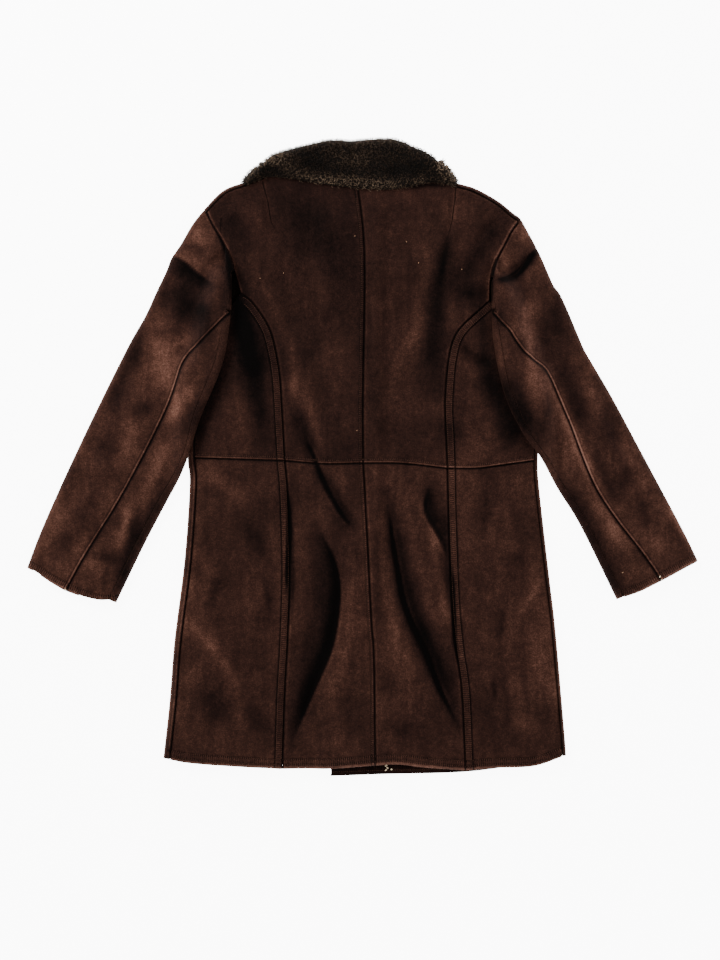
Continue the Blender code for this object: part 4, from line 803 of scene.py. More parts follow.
def upperBack(side):
    lines = seams[side]
    ends = np.cumsum((4, 2, 11)) / 17
    cap = capShare(side)
    sides = {
        "outer": chain((partOf(lines["armhole"], 0.0, cap), ends[0]),
                       (partOf(lines["armhole"], cap, 1.0), ends[1]),
                       (lines["princessUpper"].at, 1.0)),
        "inner": centreUpper.at,
        "bottom": lines["waistInner"].at,
    }
    along = rowStops(centreUpper.length, cloth["cell"], (0.0006, 0.0020), nearWaist)
    widths = widthsOf(sides, along)
    nearMiddle = nearCentre if side == "left" else nearSeam
    across, corner = stops(widths, nearSeam, nearMiddle, cloth["cell"], 1 / 3 if side == "left" else 4 / 9)
    sides["top"] = chain((lambda share: shoulderLine(side, share), corner), (lines["neck"].at, 1.0))
    grid, x, y, relief = backSkin(sides, across, along, side, 11, True)
    relief += seamDip(lines["armhole"].nearest(x, y)[0])
    return [withLevels(grid, backTop(x, y), relief)]


nearSide = (0.0006, 0.0014, 0.0026, 0.0040)


def upperSideBack(side):
    lines = seams[side]
    end = waistShare(side)
    sides = {
        "outer": lambda share: sideLine(side, end * np.asarray(share, float)),
        "inner": lines["princessUpper"].at,
        "top": lambda share: lines["armholeLow"].at(1 - np.asarray(share, float)),
        "bottom": lines["waistOuter"].at,
    }
    along = rowStops(lines["princessUpper"].length, cloth["cell"], (0.00015, 0.0020), nearWaist)
    widths = widthsOf(sides, along)
    across = stops(widths, nearSide, nearPrincess, cloth["cell"])
    grid, x, y, relief = backSkin(sides, across, along, side, 13, True)
    gap, share, _ = lines["princessUpper"].nearest(x, y)
    relief += princessBandRelief(gap, share)
    return [withLevels(grid, backTop(x, y), relief)]


def skirtBack(side):
    lines = seams[side]
    sides = {
        "outer": lines["princessLower"].at,
        "inner": centreLower.at,
        "top": lines["waistInner"].at,
        "bottom": lines["hemInner"].at,
    }
    along = rowStops(centreLower.length, cloth["cell"], nearSeam, nearHem)
    widths = widthsOf(sides, along)
    nearMiddle = nearCentre if side == "left" else nearSeam
    across = stops(widths, nearSeam, nearMiddle, cloth["cell"])
    grid, x, y, relief = backSkin(sides, across, along, side, 15, False)
    relief += finished(hemEdge, lines["hemInner"], x, y, 6)
    return [withLevels(grid, backTop(x, y), relief)]


def skirtSide(side):
    lines = seams[side]
    start = waistShare(side)
    sides = {
        "outer": lambda share: sideLine(side, start + (1 - start) * np.asarray(share, float)),
        "inner": lines["princessLower"].at,
        "top": lines["waistOuter"].at,
        "bottom": lines["hemOuter"].at,
    }
    along = rowStops(lines["princessLower"].length, cloth["cell"], nearSeam, nearHem)
    widths = widthsOf(sides, along)
    across = stops(widths, nearSide + (0.0055, 0.0070), nearPrincess, cloth["cell"])
    grid, x, y, relief = backSkin(sides, across, along, side, 17, False)
    gap, share, _ = lines["princessLower"].nearest(x, y)
    relief += princessBandRelief(gap, share + 0.2)
    edgeGap = np.linalg.norm(grid - sides["outer"](along)[:, None], axis=-1)
    relief += seamDip(edgeGap, 0.0020, 0.0035)
    relief += finished(hemEdge, lines["hemOuter"], x, y, 7)
    return [withLevels(grid, backTop(x, y), relief)]


# the front's stops by its edge, closer where the left front climbs over the right, and its corner's share
lapStops = {"left": ((0.0, 0.030, 0.0375, 0.0455, 0.0550, 0.0645, 0.073, 0.082, 0.091), 3 / 6 * 0.66),
            "right": ((0.0, 0.030), 0.45)}


frontRows = {"armhole": 30, "side": 90, "inset": 0.0036}


def front(side):
    lines = seams[side]
    armholeRows, sideRows = frontRows["armhole"], frontRows["side"]
    total = armholeRows + sideRows
    armholeEnd = armholeRows / total
    inward = frontRows["inset"] if side == "left" else -frontRows["inset"]

    def armhole(share):
        shift = ease(40 * share * (1 - share)) * inward
        return lines["armholeFront"].at(share) + np.stack((shift, 0 * shift), axis=-1)

    sides = {
        "outer": chain((armhole, armholeEnd), (lambda share: sideLine(side, share), 1.0)),
        "inner": lines["frontEdge"].at,
        "bottom": lines["frontHem"].at,
    }
    along = np.concatenate((np.arange(total) / total, [1 - 0.004, 1.0]))
    widths = widthsOf(sides, along)
    nearLap, corner = lapStops[side]
    across, corner = stops(widths, (0.0,), nearLap, cloth["lowCell"], corner)
    sides["top"] = chain((lambda share: shoulderLine(side, share), corner),
                         (lines["frontNeck"].evenlyAcross, 1.0))
    grid = coons(sides, across, along)
    column = int(np.abs(across[0] - corner).argmin())
    shoulderShares = across[0, : column + 1] / corner
    sideShares = (along[armholeRows:] - armholeEnd) / (1 - armholeEnd)
    grid[0, : column + 1] = shoulderLine(side, shoulderShares)
    grid[armholeRows:, 0] = sideLine(side, sideShares)
    x, y = grid[..., 0], grid[..., 1]
    bottom = neckLiftAt(x, y)
    if side == "left":
        bottom = bottom + (cloth["wall"] + 1.2 * cloth["layerGap"]) * lapRise(x)
    patches = [lowerLevels(grid, bottom)]
    outlineShares = shoulderShare[side] * (1 - shoulderShares)
    for line, shares, width, place in (
            (lines["outline"], outlineShares, outlineWidth, (0, slice(0, column + 1))),
            (lines["side"], sideShares, sideWidth, (slice(armholeRows, None), 0))):
        points = grid[place]
        top = backTop(points[:, 0], points[:, 1])
        patches.append(rolled(points, outward(line, shares, side), bottom[place], top,
                              width(side, shares)))
    return patches


def sleeveRelief(x, y, side, seed):
    lines = seams[side]
    gap = np.minimum(lines["outline"].nearest(x, y)[0], lines["sleeveInner"].nearest(x, y)[0])
    inside = ease((gap - 0.004) / 0.020)
    return (unevenness(x, y, seed) * 1.3 + foldsAt(x, y, sleeveCreaseLines[side])) * inside


def cuffEdge(gap, along, seed):
    relief = lineDip(gap - sewing["cuff"], 0.0010, 0.0013) - skin["edgeDip"] * (1 - ease(gap / 0.0038))
    return relief + pucker(np.abs(gap - 0.0050), along, 0.005, 0.0060, 0.0005, seed)


def elbowMarks(length, near):
    return np.concatenate((rowStops(length, cloth["cell"], (0.0012, 0.0025), near)[:-1], [1.0]))


# reach, pitch, height and seed of the puckers along the elbow seam
elbowWaves = (0.010, 0.010, 0.0004, 8)
nearCuff = (0.0, 0.0010, 0.0022, 0.0036, 0.0052, 0.0070, 0.0086, 0.0096, 0.0104, 0.0114, 0.0132)


# how far the cap's seam allowance reaches under the back, so nothing shows through the armhole seam
capAllowance = {"side": 0.0018, "top": 0.0020}


def topSleeve(side):
    lines = seams[side]
    elbow, line, armhole = lines["elbow"], lines["outline"], lines["armhole"]
    start, cap, low = shoulderShare[side], capShare(side), edgeShare(side)
    capEnd, edgeEnd = 4 / 18, 7 / 18
    capLength, edgeLength = armhole.length * cap, lines["sleeveInner"].length * low
    capRows = np.linspace(0.002, 1, round(capLength / cloth["cell"]))
    edgeRows = np.linspace(0.07, 1 - 0.0003 / edgeLength, round(edgeLength / cloth["cell"]))
    rows = elbowMarks(elbow.length, nearCuff)
    along = np.concatenate((capRows * capEnd, capEnd + (edgeEnd - capEnd) * edgeRows,
                            edgeEnd + (1 - edgeEnd) * rows))
    edgePlace = slice(len(capRows), len(capRows) + len(edgeRows))
    shares = start + (1 - start) * along
    turn = lines["cuff"].shareOf(elbow.points[-1])
    cuffStart = lines["cuff"].shareOf(outlineLine(side, 1.0))

    def outer(share):
        return outlineLine(side, start + (1 - start) * np.asarray(share, float))

    inner = chain((partOf(armhole, 0.0, cap), capEnd),
                  (lambda share: sleeveInnerLine(side, low * share), edgeEnd),
                  (elbow.at, 1.0))
    sides = {"outer": outer, "inner": inner, "top": straight(outer(0.0), inner(0.0)),
             "bottom": partOf(lines["cuff"], cuffStart, turn)}
    widths = distance(inner(along), outer(along))
    across = stops(widths, (0.0,), nearSeam, cloth["cell"])
    grid = coons(sides, across, along)
    grid[:, 0] = outer(along)
    grid[edgePlace, -1] = inner(along[edgePlace])
    x, y = grid[..., 0], grid[..., 1]
    top = sleeveTop(x, y, side)
    relief = sleeveRelief(x, y, side, seeded(21, side))
    relief += sewn(elbow, x, y, (0.0006, 0.0016), elbowWaves)
    gap, share, _ = armhole.nearest(x, y)
    relief += (seamDip(gap) + pucker(gap, share * armhole.length, 0.012, 0.009, 0.0005, 9)) * (
        ease((cap + 0.04 - share) / 0.04))
    relief += finished(cuffEdge, lines["cuff"], x, y, 10)
    upper = withLevels(grid, top, relief)
    upper[1][:len(capRows), -1, 0] += capAllowance["side"] if side == "left" else -capAllowance["side"]
    upper[1][0, :, 1] += capAllowance["top"]
    edge = grid[edgePlace, -1]
    edgeShares = low * edgeRows
    edgeFold = rolled(edge, -outward(lines["sleeveInner"], edgeShares, side),
                      sleeveBottom(edge[:, 0], edge[:, 1], side, onBody=True), top[edgePlace, -1],
                      sleeveInnerWidth(edgeShares), relief[edgePlace, -1])

    frontSeam = lines["sleeveFront"]
    turnFront = lines["cuff"].shareOf(frontSeam.points[-1])
    inner = chain((lines["armholeFront"].at, edgeEnd), (frontSeam.at, 1.0))
    sides = {"outer": outer, "inner": inner, "top": straight(outer(0.0), inner(0.0)),
             "bottom": partOf(lines["cuff"], cuffStart, turnFront)}
    widths = distance(inner(along), outer(along))
    across = stops(widths, (0.0,), (0.0012,), cloth["lowCell"])
    low = coons(sides, across, along)
    low[:, 0] = outer(along)
    bottom = sleeveBottom(low[..., 0], low[..., 1], side)
    fold = rolled(low[:, 0], outward(line, shares, side), bottom[:, 0], top[:, 0],
                  outlineWidth(side, shares), relief[:, 0])
    return [upper, fold, edgeFold, lowerLevels(low, bottom)]


def underSleeve(side):
    lines = seams[side]
    elbow, line, frontSeam = lines["elbow"], lines["sleeveInner"], lines["sleeveFront"]
    along = elbowMarks(elbow.length, nearCuff)
    turn = lines["cuff"].shareOf(elbow.points[-1])
    cuffEnd = lines["cuff"].shareOf(sleeveInnerLine(side, 1.0))
    start = edgeShare(side)
    shares = start + (1 - start) * along

    def inner(share):
        return sleeveInnerLine(side, start + (1 - start) * np.asarray(share, float))

    sides = {"outer": elbow.at, "inner": inner, "top": straight(elbow.at(0.0), inner(0.0)),
             "bottom": partOf(lines["cuff"], turn, cuffEnd)}
    widths = distance(inner(along), elbow.at(along))
    across = stops(widths, nearSeam, (0.0,), cloth["cell"])
    grid = coons(sides, across, along)
    grid[:, -1] = inner(along)
    x, y = grid[..., 0], grid[..., 1]
    top = sleeveTop(x, y, side)
    relief = sleeveRelief(x, y, side, seeded(23, side))
    relief += sewn(elbow, x, y, (), elbowWaves)
    relief += finished(cuffEdge, lines["cuff"], x, y, 10)
    upper = withLevels(grid, top, relief)

    lowStart = lines["sleeveLow"].shareAtY(inner(0.0)[1])
    outer = chain((partOf(lines["sleeveLow"], lowStart, 1.0), 2 / 12), (frontSeam.at, 1.0))
    sides = {"outer": outer, "inner": inner, "top": straight(outer(0.0), inner(0.0)),
             "bottom": partOf(lines["cuff"], lines["cuff"].shareOf(frontSeam.points[-1]), cuffEnd)}
    widths = distance(inner(along), outer(along))
    across = stops(widths, (0.00015,), (0.0,), cloth["lowCell"])
    low = coons(sides, across, along)
    low[:, -1] = inner(along)
    x, y = low[..., 0], low[..., 1]
    bottom = sleeveBottom(x, y, side, onBody=True)
    fold = rolled(low[:, -1], -outward(line, shares, side), bottom[:, -1], top[:, -1],
                  sleeveInnerWidth(shares), relief[:, -1])
    return [upper, fold, lowerLevels(low, bottom)]


# tones of the nap, with painted shade and painted highlights

# strength (below nought is dark), half width and line of each soft streak: streaks in the nap, painted shade
# in creases, beside the sleeves and under the collar's edge, and painted highlights on ridges
bodyTones = (
    (-1, 4.8, 121.5, 315, 119.7, 297.8, 115.9, 275.7, 111, 255),
    (-1, 3, 61.6, 388.5, 99.3, 393, 133, 390),
    (-1, 13, -183.4, 251.3, -166, 171.5, -151.5, 91.8, -145.7, 26.5),
    (-0.5, 10.1, -190.7, 284.6, -180.5, 241.1),
    (-0.8, 11.6, 167.5, 229.5, 176.2, 164.3, 182, 84.5),
    (-0.4, 10.1, 112.4, 251.3, 109.5, 186),
    (0.6, 7.2, -102.2, 178.8, -96.4, 84.5),
    (0.5, 8.7, -79, 91.8, -58.7, 4.8),
    (0.45, 10.1, -241.4, -67.7, -242.9, -154.7),
    (-0.45, 7.2, 16.7, -67.7, 19.6, -147.5, 22.5, -241.7),
    (-0.4, 8.7, 61.6, 4.8, 71.8, -46),
    (-0.5, 7.2, 112.4, -82.2, 115.3, -147.5, 124, -220),
    (-0.35, 11.6, 184.9, 4.8, 179.1, -60.5, 170.4, -125.7),
    (-0.5, 10.1, 44.2, -379.5, 54.4, -405.6),
    (-0.35, 8.7, 196.5, -249, 206.6, -350.5, 216.8, -401.2),
    (0.4, 11.6, -93.5, -372.2, -73.2, -415.7),
    (0.35, 8.7, 100.8, -278, 112.4, -336),
    (0.25, 14.5, 250.1, -118.5, 257.4, -350.5),
    (-0.62, 33, -103, 362, -78, 330, -56, 285),
    (-0.25, 28, -47.1, 367.3, -30, 316.5, -32.6, 244),
    (-0.55, 17.4, -197.9, 349.9, -186.3, 328.1, -173.3, 307.8),
    (0.35, 8.7, -163.1, 284.6, -145.7, 252.7, -125.4, 206.3, -115.3, 171.5),
    (0.45, 18.8, -108, 125.1, -93.5, 91.8, -84.8, 55.5),
    (-0.9, 11.6, -100.8, 78.7, -86.3, 43.9, -73.2, 14.9, -64.5, 0.4),
    (-0.8, 14.5, -180.5, 252.7, -176.2, 212.1, -168.9, 164.3),
    (-1.1, 23.2, -174.7, 197.6, -163.1, 157, -151.5, 107.7),
    (-0.9, 13, -203.7, 145.4, -215.3, 96.1, -231.3, 48.3, -241.4, 9.1),
    (0.25, 20.3, -189.2, 55.5, -163.1, 43.9, -137, 26.5),
    (-0.35, 20.3, -145.7, 81.6, -134.1, 41, -128.3, 9.1),
    (0.4, 13, 93.5, 290.4, 90.6, 255.6, 83.4, 217.9, 71.8, 171.5, 61.6, 125.1),
    (-0.9, 13, 122.5, 319.4, 113.8, 284.6, 108, 244, 103.7, 197.6, 103.7, 148.3, 108, 96.1),
    (-0.5, 20.3, 129.8, 284.6, 138.5, 251.3, 161.7, 229.5),
    (-0.8, 14.5, 196.5, 339.7, 179.1, 316.5, 161.7, 284.6, 144.3, 249.8),
    (-0.6, 11.6, 182, 235.3, 164.6, 241.1, 144.3, 229.5),
    (-0.6, 7.3, 142.8, 165.7, 151.5, 152.7, 166, 141.1, 184.9, 135.3),
    (-1.3, 17.4, 187.8, 130.9, 195, 101.9, 203.7, 72.9, 216.8, 46.8, 234.2, 17.8),
    (-0.4, 17.4, 199.4, 38.1, 208.1, 9.1),
    (0.3, 8.7, 170.4, 55.5, 190.7, 26.5, 199.4, 9.1),
    (-0.5, 17.4, 129.8, 55.5, 135.6, 19.3),
    (0.25, 31.9, 32.6, 229.5, 42.8, 157, 48.6, 84.5),
    (-0.35, 17.4, 8, 186, 13.8, 113.5, 19.6, 41),
    (0.25, 26.1, -47.1, 186, -41.3, 113.5, -32.6, 55.5),
    (0.45, 13, -226.9, -11.2, -206.6, -31.5, -183.4, -51.8, -160.2, -69.2),
    (-0.6, 13, -180.5, -83.7, -163.1, -106.9, -145.7, -130.1, -134.1, -150.4),
    (-0.35, 14.5, -241.4, -48.9, -215.3, -46, -189.2, -60.5),
    (0.35, 7.3, -134.1, -89.5, -131.2, -118.5, -128.3, -150.4),
    (-0.6, 7.3, -206.6, -167.8, -213.9, -191, -224, -222.9),
    (-0.6, 5.8, -142.8, -167.8, -137, -191, -132.7, -214.2),
    (0.3, 13, -154.4, -176.5, -160.2, -205.5, -154.4, -234.5),
    (0.55, 13, -255.9, -147.5, -258.8, -205.5, -264.6, -263.5),
    (0.4, 8.7, -258.8, -231.6, -235.6, -251.9, -215.3, -272.2, -203.7, -295.4),
    (0.5, 10.2, -203.7, -283.8, -192.1, -309.9, -180.5, -336),
    (-0.6, 18.8, -229.8, -336, -212.4, -359.2, -215.3, -382.4),
    (-0.4, 13, -171.8, -350.5, -154.4, -373.7, -145.7, -399.8),
    (0.25, 14.5, -264.6, -350.5, -261.7, -394),
    (-1.1, 6.5, -61.6, -17, -47.1, -40.2, -32.6, -64.8, -23.9, -83.7, -13.8, -99.6),
    (0.6, 3.8, -51.5, -51.8, -41.3, -72.1, -28.3, -89.5, -18.1, -101.1),
    (-0.5, 13, -45.7, -60.5, -35.5, -83.7, -21, -104),
    (-1.1, 9.4, -68.9, -96.7, -54.4, -125.7, -41.3, -157.6, -37, -180.8, -39.9, -214.2, -48.6, -254.8,
     -61.6, -289.6, -77.6, -331.6, -92.1, -375.1, -105.1, -412.8),
    (-0.55, 20.3, -73.2, -118.5, -58.7, -176.5, -61.6, -249, -81.9, -321.5, -96.4, -379.5),
    (0.4, 13, -23.9, -147.5, -18.1, -191, -22.5, -249, -35.5, -307, -52.9, -365),
    (0.3, 11.6, -90.6, -60.5, -87.7, -118.5, -81.9, -176.5),
    (-1.2, 9.4, 34.1, -48.9, 44.2, -88, 51.5, -131.5, 60.2, -175, 71.8, -217.1, 86.3, -254.8, 100.8,
     -286.7, 112.4, -317.1, 125.4, -351.9, 138.5, -383.8),
    (-0.6, 18.8, 66, -205.5, 89.2, -254.8, 112.4, -307, 129.8, -359.2),
    (0.35, 11.6, 19.6, -89.5, 28.3, -147.5, 37, -205.5, 48.6, -263.5, 66, -321.5, 83.4, -373.7),
    (0.5, 8.7, 84.8, -64.8, 102.2, -117, 110.9, -162, 119.6, -202.6, 129.8, -260.6),
    (0.3, 7.3, 68.9, -89.5, 80.5, -147.5, 95, -205.5, 112.4, -263.5),
    (-1, 10.2, 100.8, -37.3, 95, -54.7, 100.8, -77.9, 113.8, -104),
    (-1, 4.3, -106.6, -46, -103.7, -118.5, -102.2, -191, -105.1, -237.4),
    (-0.9, 4.3, 121.1, -67.7, 122.5, -125.7, 125.4, -183.7, 129.8, -237.4),
    (0.35, 20.3, 47.1, -17, 68.9, -31.5),
    (-0.35, 20.3, -18.1, -336, -15.2, -394),
    (0.3, 17.4, -47.1, -401.2, -25.4, -411.4),
    (-0.4, 17.4, 54.4, -379.5, 83.4, -411.4),
    (0.25, 14.5, 22.5, -401.2, 42.8, -411.4),
    (0.35, 5.8, 261.7, -166.3, 248.7, -191, 234.2, -214.2, 222.6, -231.6),
    (0.3, 5.8, 142.8, -176.5, 161.7, -193.9, 182, -199.7, 199.4, -191),
    (-0.5, 7.3, 199.4, -214.2, 200.8, -234.5, 199.4, -257.7),
    (-0.7, 4.3, 189.2, -315.7, 190.7, -347.6),
    (0.55, 10.2, 270.4, -205.5, 276.2, -263.5, 280.6, -321.5, 283.5, -372.2),
    (0.35, 14.5, 257.4, -263.5, 251.6, -298.3, 266.1, -336),
    (-0.35, 17.4, 167.5, -336, 184.9, -373.7, 176.2, -405.6),
    (0.3, 14.5, 213.9, -263.5, 208.1, -298.3, 222.6, -336),
    (-0.3, 20.3, 228.4, -60.5, 234.2, -118.5, 216.8, -162),
    (0.2, 20.3, 184.9, -89.5, 179.1, -133),
    (0.3, 11.6, 211, -373.7, 234.2, -385.3, 263.2, -391.1),
)
leftTones = (
    (-2.4, 3, -208.1, 322.3, -197.3, 302.6, -189.7, 284.3, -187.2, 267.7, -188.5, 244),
    (-1, 8.7, -327, -75, -332.8, -118.5, -341.5, -154.7, -353.1, -183.7),
    (-0.5, 7.2, -366.1, -154.7, -374.8, -183.7),
    (-1.1, 15.9, -235.6, 229.5, -229.8, 186, -226.9, 154.1),
    (-0.6, 11.6, -261.7, 265.8, -255.9, 229.5, -258.8, 186),
    (-0.4, 11.6, -282, 120.8, -276.2, 84.5),
    (-0.6, 8.7, -195, 251.3, -200.8, 200.5),
    (0.6, 13, -232.7, 336.8, -238.5, 316.5, -226.9, 296.2),
    (0.45, 10.2, -267.5, 299.1, -247.2, 284.6, -226.9, 273, -215.3, 264.3),
    (-0.55, 7.3, -253, 307.8, -238.5, 302, -225.5, 293.3),
    (-1, 11.6, -270.4, 278.8, -250.1, 267.2, -232.7, 255.6, -218.2, 246.9),
    (-0.8, 24.6, -276.2, 252.7, -264.6, 226.6, -241.4, 209.2),
    (0.25, 11.6, -305.2, 212.1, -293.6, 203.4, -276.2, 197.6),
    (-0.4, 8.7, -215.3, 203.4, -226.9, 212.1, -238.5, 220.8),
    (0.85, 15.9, -296.5, 183.1, -293.6, 154.1, -284.9, 122.2, -279.1, 90.3),
    (0.45, 10.2, -267.5, 162.8, -255.9, 171.5, -235.6, 180.2),
    (-0.8, 11.6, -321.2, 174.4, -328.4, 154.1, -342.9, 125.1, -351.6, 96.1, -356, 61.3),
    (0.35, 10.2, -340, 157, -357.4, 122.2, -374.8, 87.4),
    (0.7, 10.2, -267.5, 99, -271.9, 72.9, -284.9, 49.7),
    (0.6, 10.2, -241.4, 110.6, -250.1, 87.4, -264.6, 64.2, -270.4, 41),
    (-0.5, 10.2, -226.9, 90.3, -241.4, 55.5, -255.9, 26.5),
    (0.5, 13, -324.1, 49.7, -334.2, 26.5, -345.8, 3.3),
    (-0.6, 11.6, -305.2, 78.7, -316.8, 67.1, -334.2, 70),
    (0.45, 10.2, -284.9, 26.5, -296.5, 3.3, -308.1, -17),
    (-0.5, 13, -383.5, 26.5, -369, 12, -348.7, 14.9),
    (0.55, 8.7, -279.1, 14.9, -290.7, -8.3, -305.2, -34.4, -322.6, -66.3),
    (0.7, 10.2, -331.3, -63.4, -340, -89.5, -348.7, -112.7, -354.5, -135.9),
    (-0.7, 8.7, -282, -40.2, -299.4, -72.1, -316.8, -104, -331.3, -135.9),
    (-0.5, 14.5, -383.5, -54.7, -398, -72.1, -409.6, -89.5),
    (-0.4, 8.7, -363.2, -83.7, -354.5, -95.3, -345.8, -101.1),
    (0.4, 14.5, -429.9, -72.1, -444.4, -101.1, -461.8, -135.9),
    (-0.45, 14.5, -424.1, -104, -435.7, -130.1, -447.3, -150.4),
    (-0.6, 7.3, -383.5, -138.8, -363.2, -144.6, -342.9, -147.5),
    (-0.7, 13, -345.8, -159.1, -340, -176.5, -351.6, -196.8),
    (0.35, 10.2, -400.9, -147.5, -383.5, -156.2, -369, -164.9),
    (-0.35, 8.7, -398, -127.2, -383.5, -112.7, -366.1, -101.1),
    (0.35, 7.3, -418.3, -141.7, -403.8, -124.3, -392.2, -106.9),
)
rightTones = (
    (-1, 6, 196, 120, 208, 87, 225, 54, 240, 29),
    (-0.5, 8.7, 338.6, -125.7, 353.1, -169.2, 364.7, -193.9),
    (-0.6, 11.6, 222.6, 265.8, 231.3, 236.8),
    (0.6, 11.6, 242.9, 186, 240, 142.5, 248.7, 91.8),
    (0.5, 11.6, 264.6, 125.1, 274.8, 96.1),
    (0.4, 11.6, 295.1, 48.3, 300.9, -2.5),
    (0.3, 10.1, 257.4, 280.3, 276.2, 258.5),
    (-0.4, 7.2, 195, 229.5, 199.4, 178.8),
    (0.55, 13, 216.8, 336.8, 228.4, 328.1, 237.1, 310.7),
    (0.35, 11.6, 205.2, 302, 208.1, 281.7, 199.4, 267.2),
    (-1.4, 6.5, 255.9, 300.6, 242.9, 291.9, 228.4, 275.9, 215.3, 262.9, 199.4, 257.1, 186.3, 254.2),
    (0.45, 10.2, 260.3, 284.6, 245.8, 273, 231.3, 255.6, 211, 244),
    (0.55, 13, 234.2, 232.4, 237.1, 212.1, 228.4, 191.8, 242.9, 171.5),
    (-0.8, 14.5, 276.2, 226.6, 280.6, 197.6, 289.3, 171.5),
    (-0.45, 10.2, 266.1, 203.4, 260.3, 174.4, 271.9, 157),
    (-0.9, 14.5, 286.4, 139.6, 295.1, 110.6, 306.7, 78.7, 321.2, 41),
    (0.5, 7.3, 324.1, 162.8, 332.8, 139.6, 327, 116.4),
    (0.45, 11.6, 318.3, 104.8, 335.7, 84.5, 341.5, 55.5),
    (0.9, 8, 269, 119.3, 280.6, 90.3, 295.1, 55.5, 309.6, 20.7, 324.1, -14.1, 338.6, -46),
    (0.35, 17.4, 240, 125.1, 251.6, 101.9, 257.4, 72.9),
    (-0.4, 10.2, 216.8, 96.1, 228.4, 70, 240, 43.9),
    (-0.6, 8.7, 266.1, 81.6, 261.7, 55.5, 253, 26.5),
    (-0.9, 11.6, 208.1, 125.1, 219.7, 90.3, 234.2, 58.4, 248.7, 29.4),
    (-0.5, 11.6, 347.3, 84.5, 356, 49.7, 361.8, 17.8),
    (-0.5, 7.3, 332.8, 17.8, 344.4, -17, 361.8, -54.7),
    (-0.55, 13, 387.9, -8.3, 379.2, -28.6, 370.5, -46),
    (0.45, 11.6, 402.4, -17, 416.9, -46, 434.3, -77.9),
    (0.45, 10.2, 370.5, 41, 382.1, 9.1, 396.6, -22.8),
    (-0.5, 7.3, 396.6, -51.8, 405.3, -80.8, 414, -118.5),
    (0.75, 13, 329.9, -48.9, 350.2, -83.7, 367.6, -112.7, 382.1, -135.9),
    (-0.8, 13, 286.4, -31.5, 306.7, -66.3, 327, -104, 344.4, -141.7),
    (-0.5, 14.5, 361.8, -147.5, 358.9, -170.7, 373.4, -188.1),
    (0.45, 11.6, 402.4, -95.3, 416.9, -118.5, 440.1, -130.1),
    (-0.45, 8.7, 448.8, -89.5, 457.5, -112.7, 466.2, -130.1),
    (0.7, 5.8, 437.2, -60.5, 454.6, -95.3, 474.9, -130.1),
    (0.3, 10.2, 385, -156.2, 402.4, -164.9, 414, -173.6),
)
toneLines = {part: softLines(rows, 5, float)
             for part, rows in (("body", bodyTones), ("left", leftTones), ("right", rightTones))}


def streaks(x, y, rows, reach=2.4):
    total = np.zeros(np.shape(x))
    for strength, width, line in rows:
        low, high = line.points.min(axis=0) - reach * width, line.points.max(axis=0) + reach * width
        near = (x > low[0]) & (x < high[0]) & (y > low[1]) & (y < high[1])
        if not near.any():
            continue
        gap, share, _ = line.nearest(x[near], y[near])
        ends = 0.35 + 0.65 * ease(share / 0.25) * ease((1 - share) / 0.25)
        total[near] += strength * ends * bell(gap, width)
    return total


def seamTone(gap, strength=1.0):
    # painted shade as a dark line in the seam, and a painted highlight on the ridge beside it
    return strength * (-1.5 * bell(gap, 0.0013) + 0.30 * bell(gap - 0.0030, 0.0012))


def stitchTone(gap, strength=0.5):
    return -strength * bell(gap, 0.0010)


seamsOf = {
    "back": ("armhole", "princessUpper", "waistInner", "centreUpper"),
    "side_back": ("princessUpper", "waistOuter"),
    "skirt_back": ("princessLower", "waistInner", "centreLower"),
    "skirt_side": ("princessLower", "waistOuter"),
    "front": (),
    "sleeve_top": ("elbow", "armhole"),
    "sleeve_under": ("elbow",),
}
edgesOf = {"skirt_back": "hemInner", "skirt_side": "hemOuter", "front": "frontHem",
           "sleeve_top": "cuff", "sleeve_under": "cuff"}


def lineNamed(name, side):
    return {"centreUpper": centreUpper, "centreLower": centreLower}.get(name) or seams[side][name]


# the fronts' nap is plainer, and the hem that shows below the back lies in its shade
frontNap = {"streaks": 0.3, "shade": 0.7, "hemY": -0.430, "hemHalf": 0.25}
napShift = {"sleeve_top_left": 0.20, "sleeve_under_left": 0.12, "sleeve_top_right": 0.15,
            "sleeve_under_right": 0.12, "back_left": -0.35, "side_back_left": -0.25, "back_right": -0.15}


def band(gap, near, far):
    return ease((gap - near) / 0.0012) * ease((far - gap) / 0.0012)


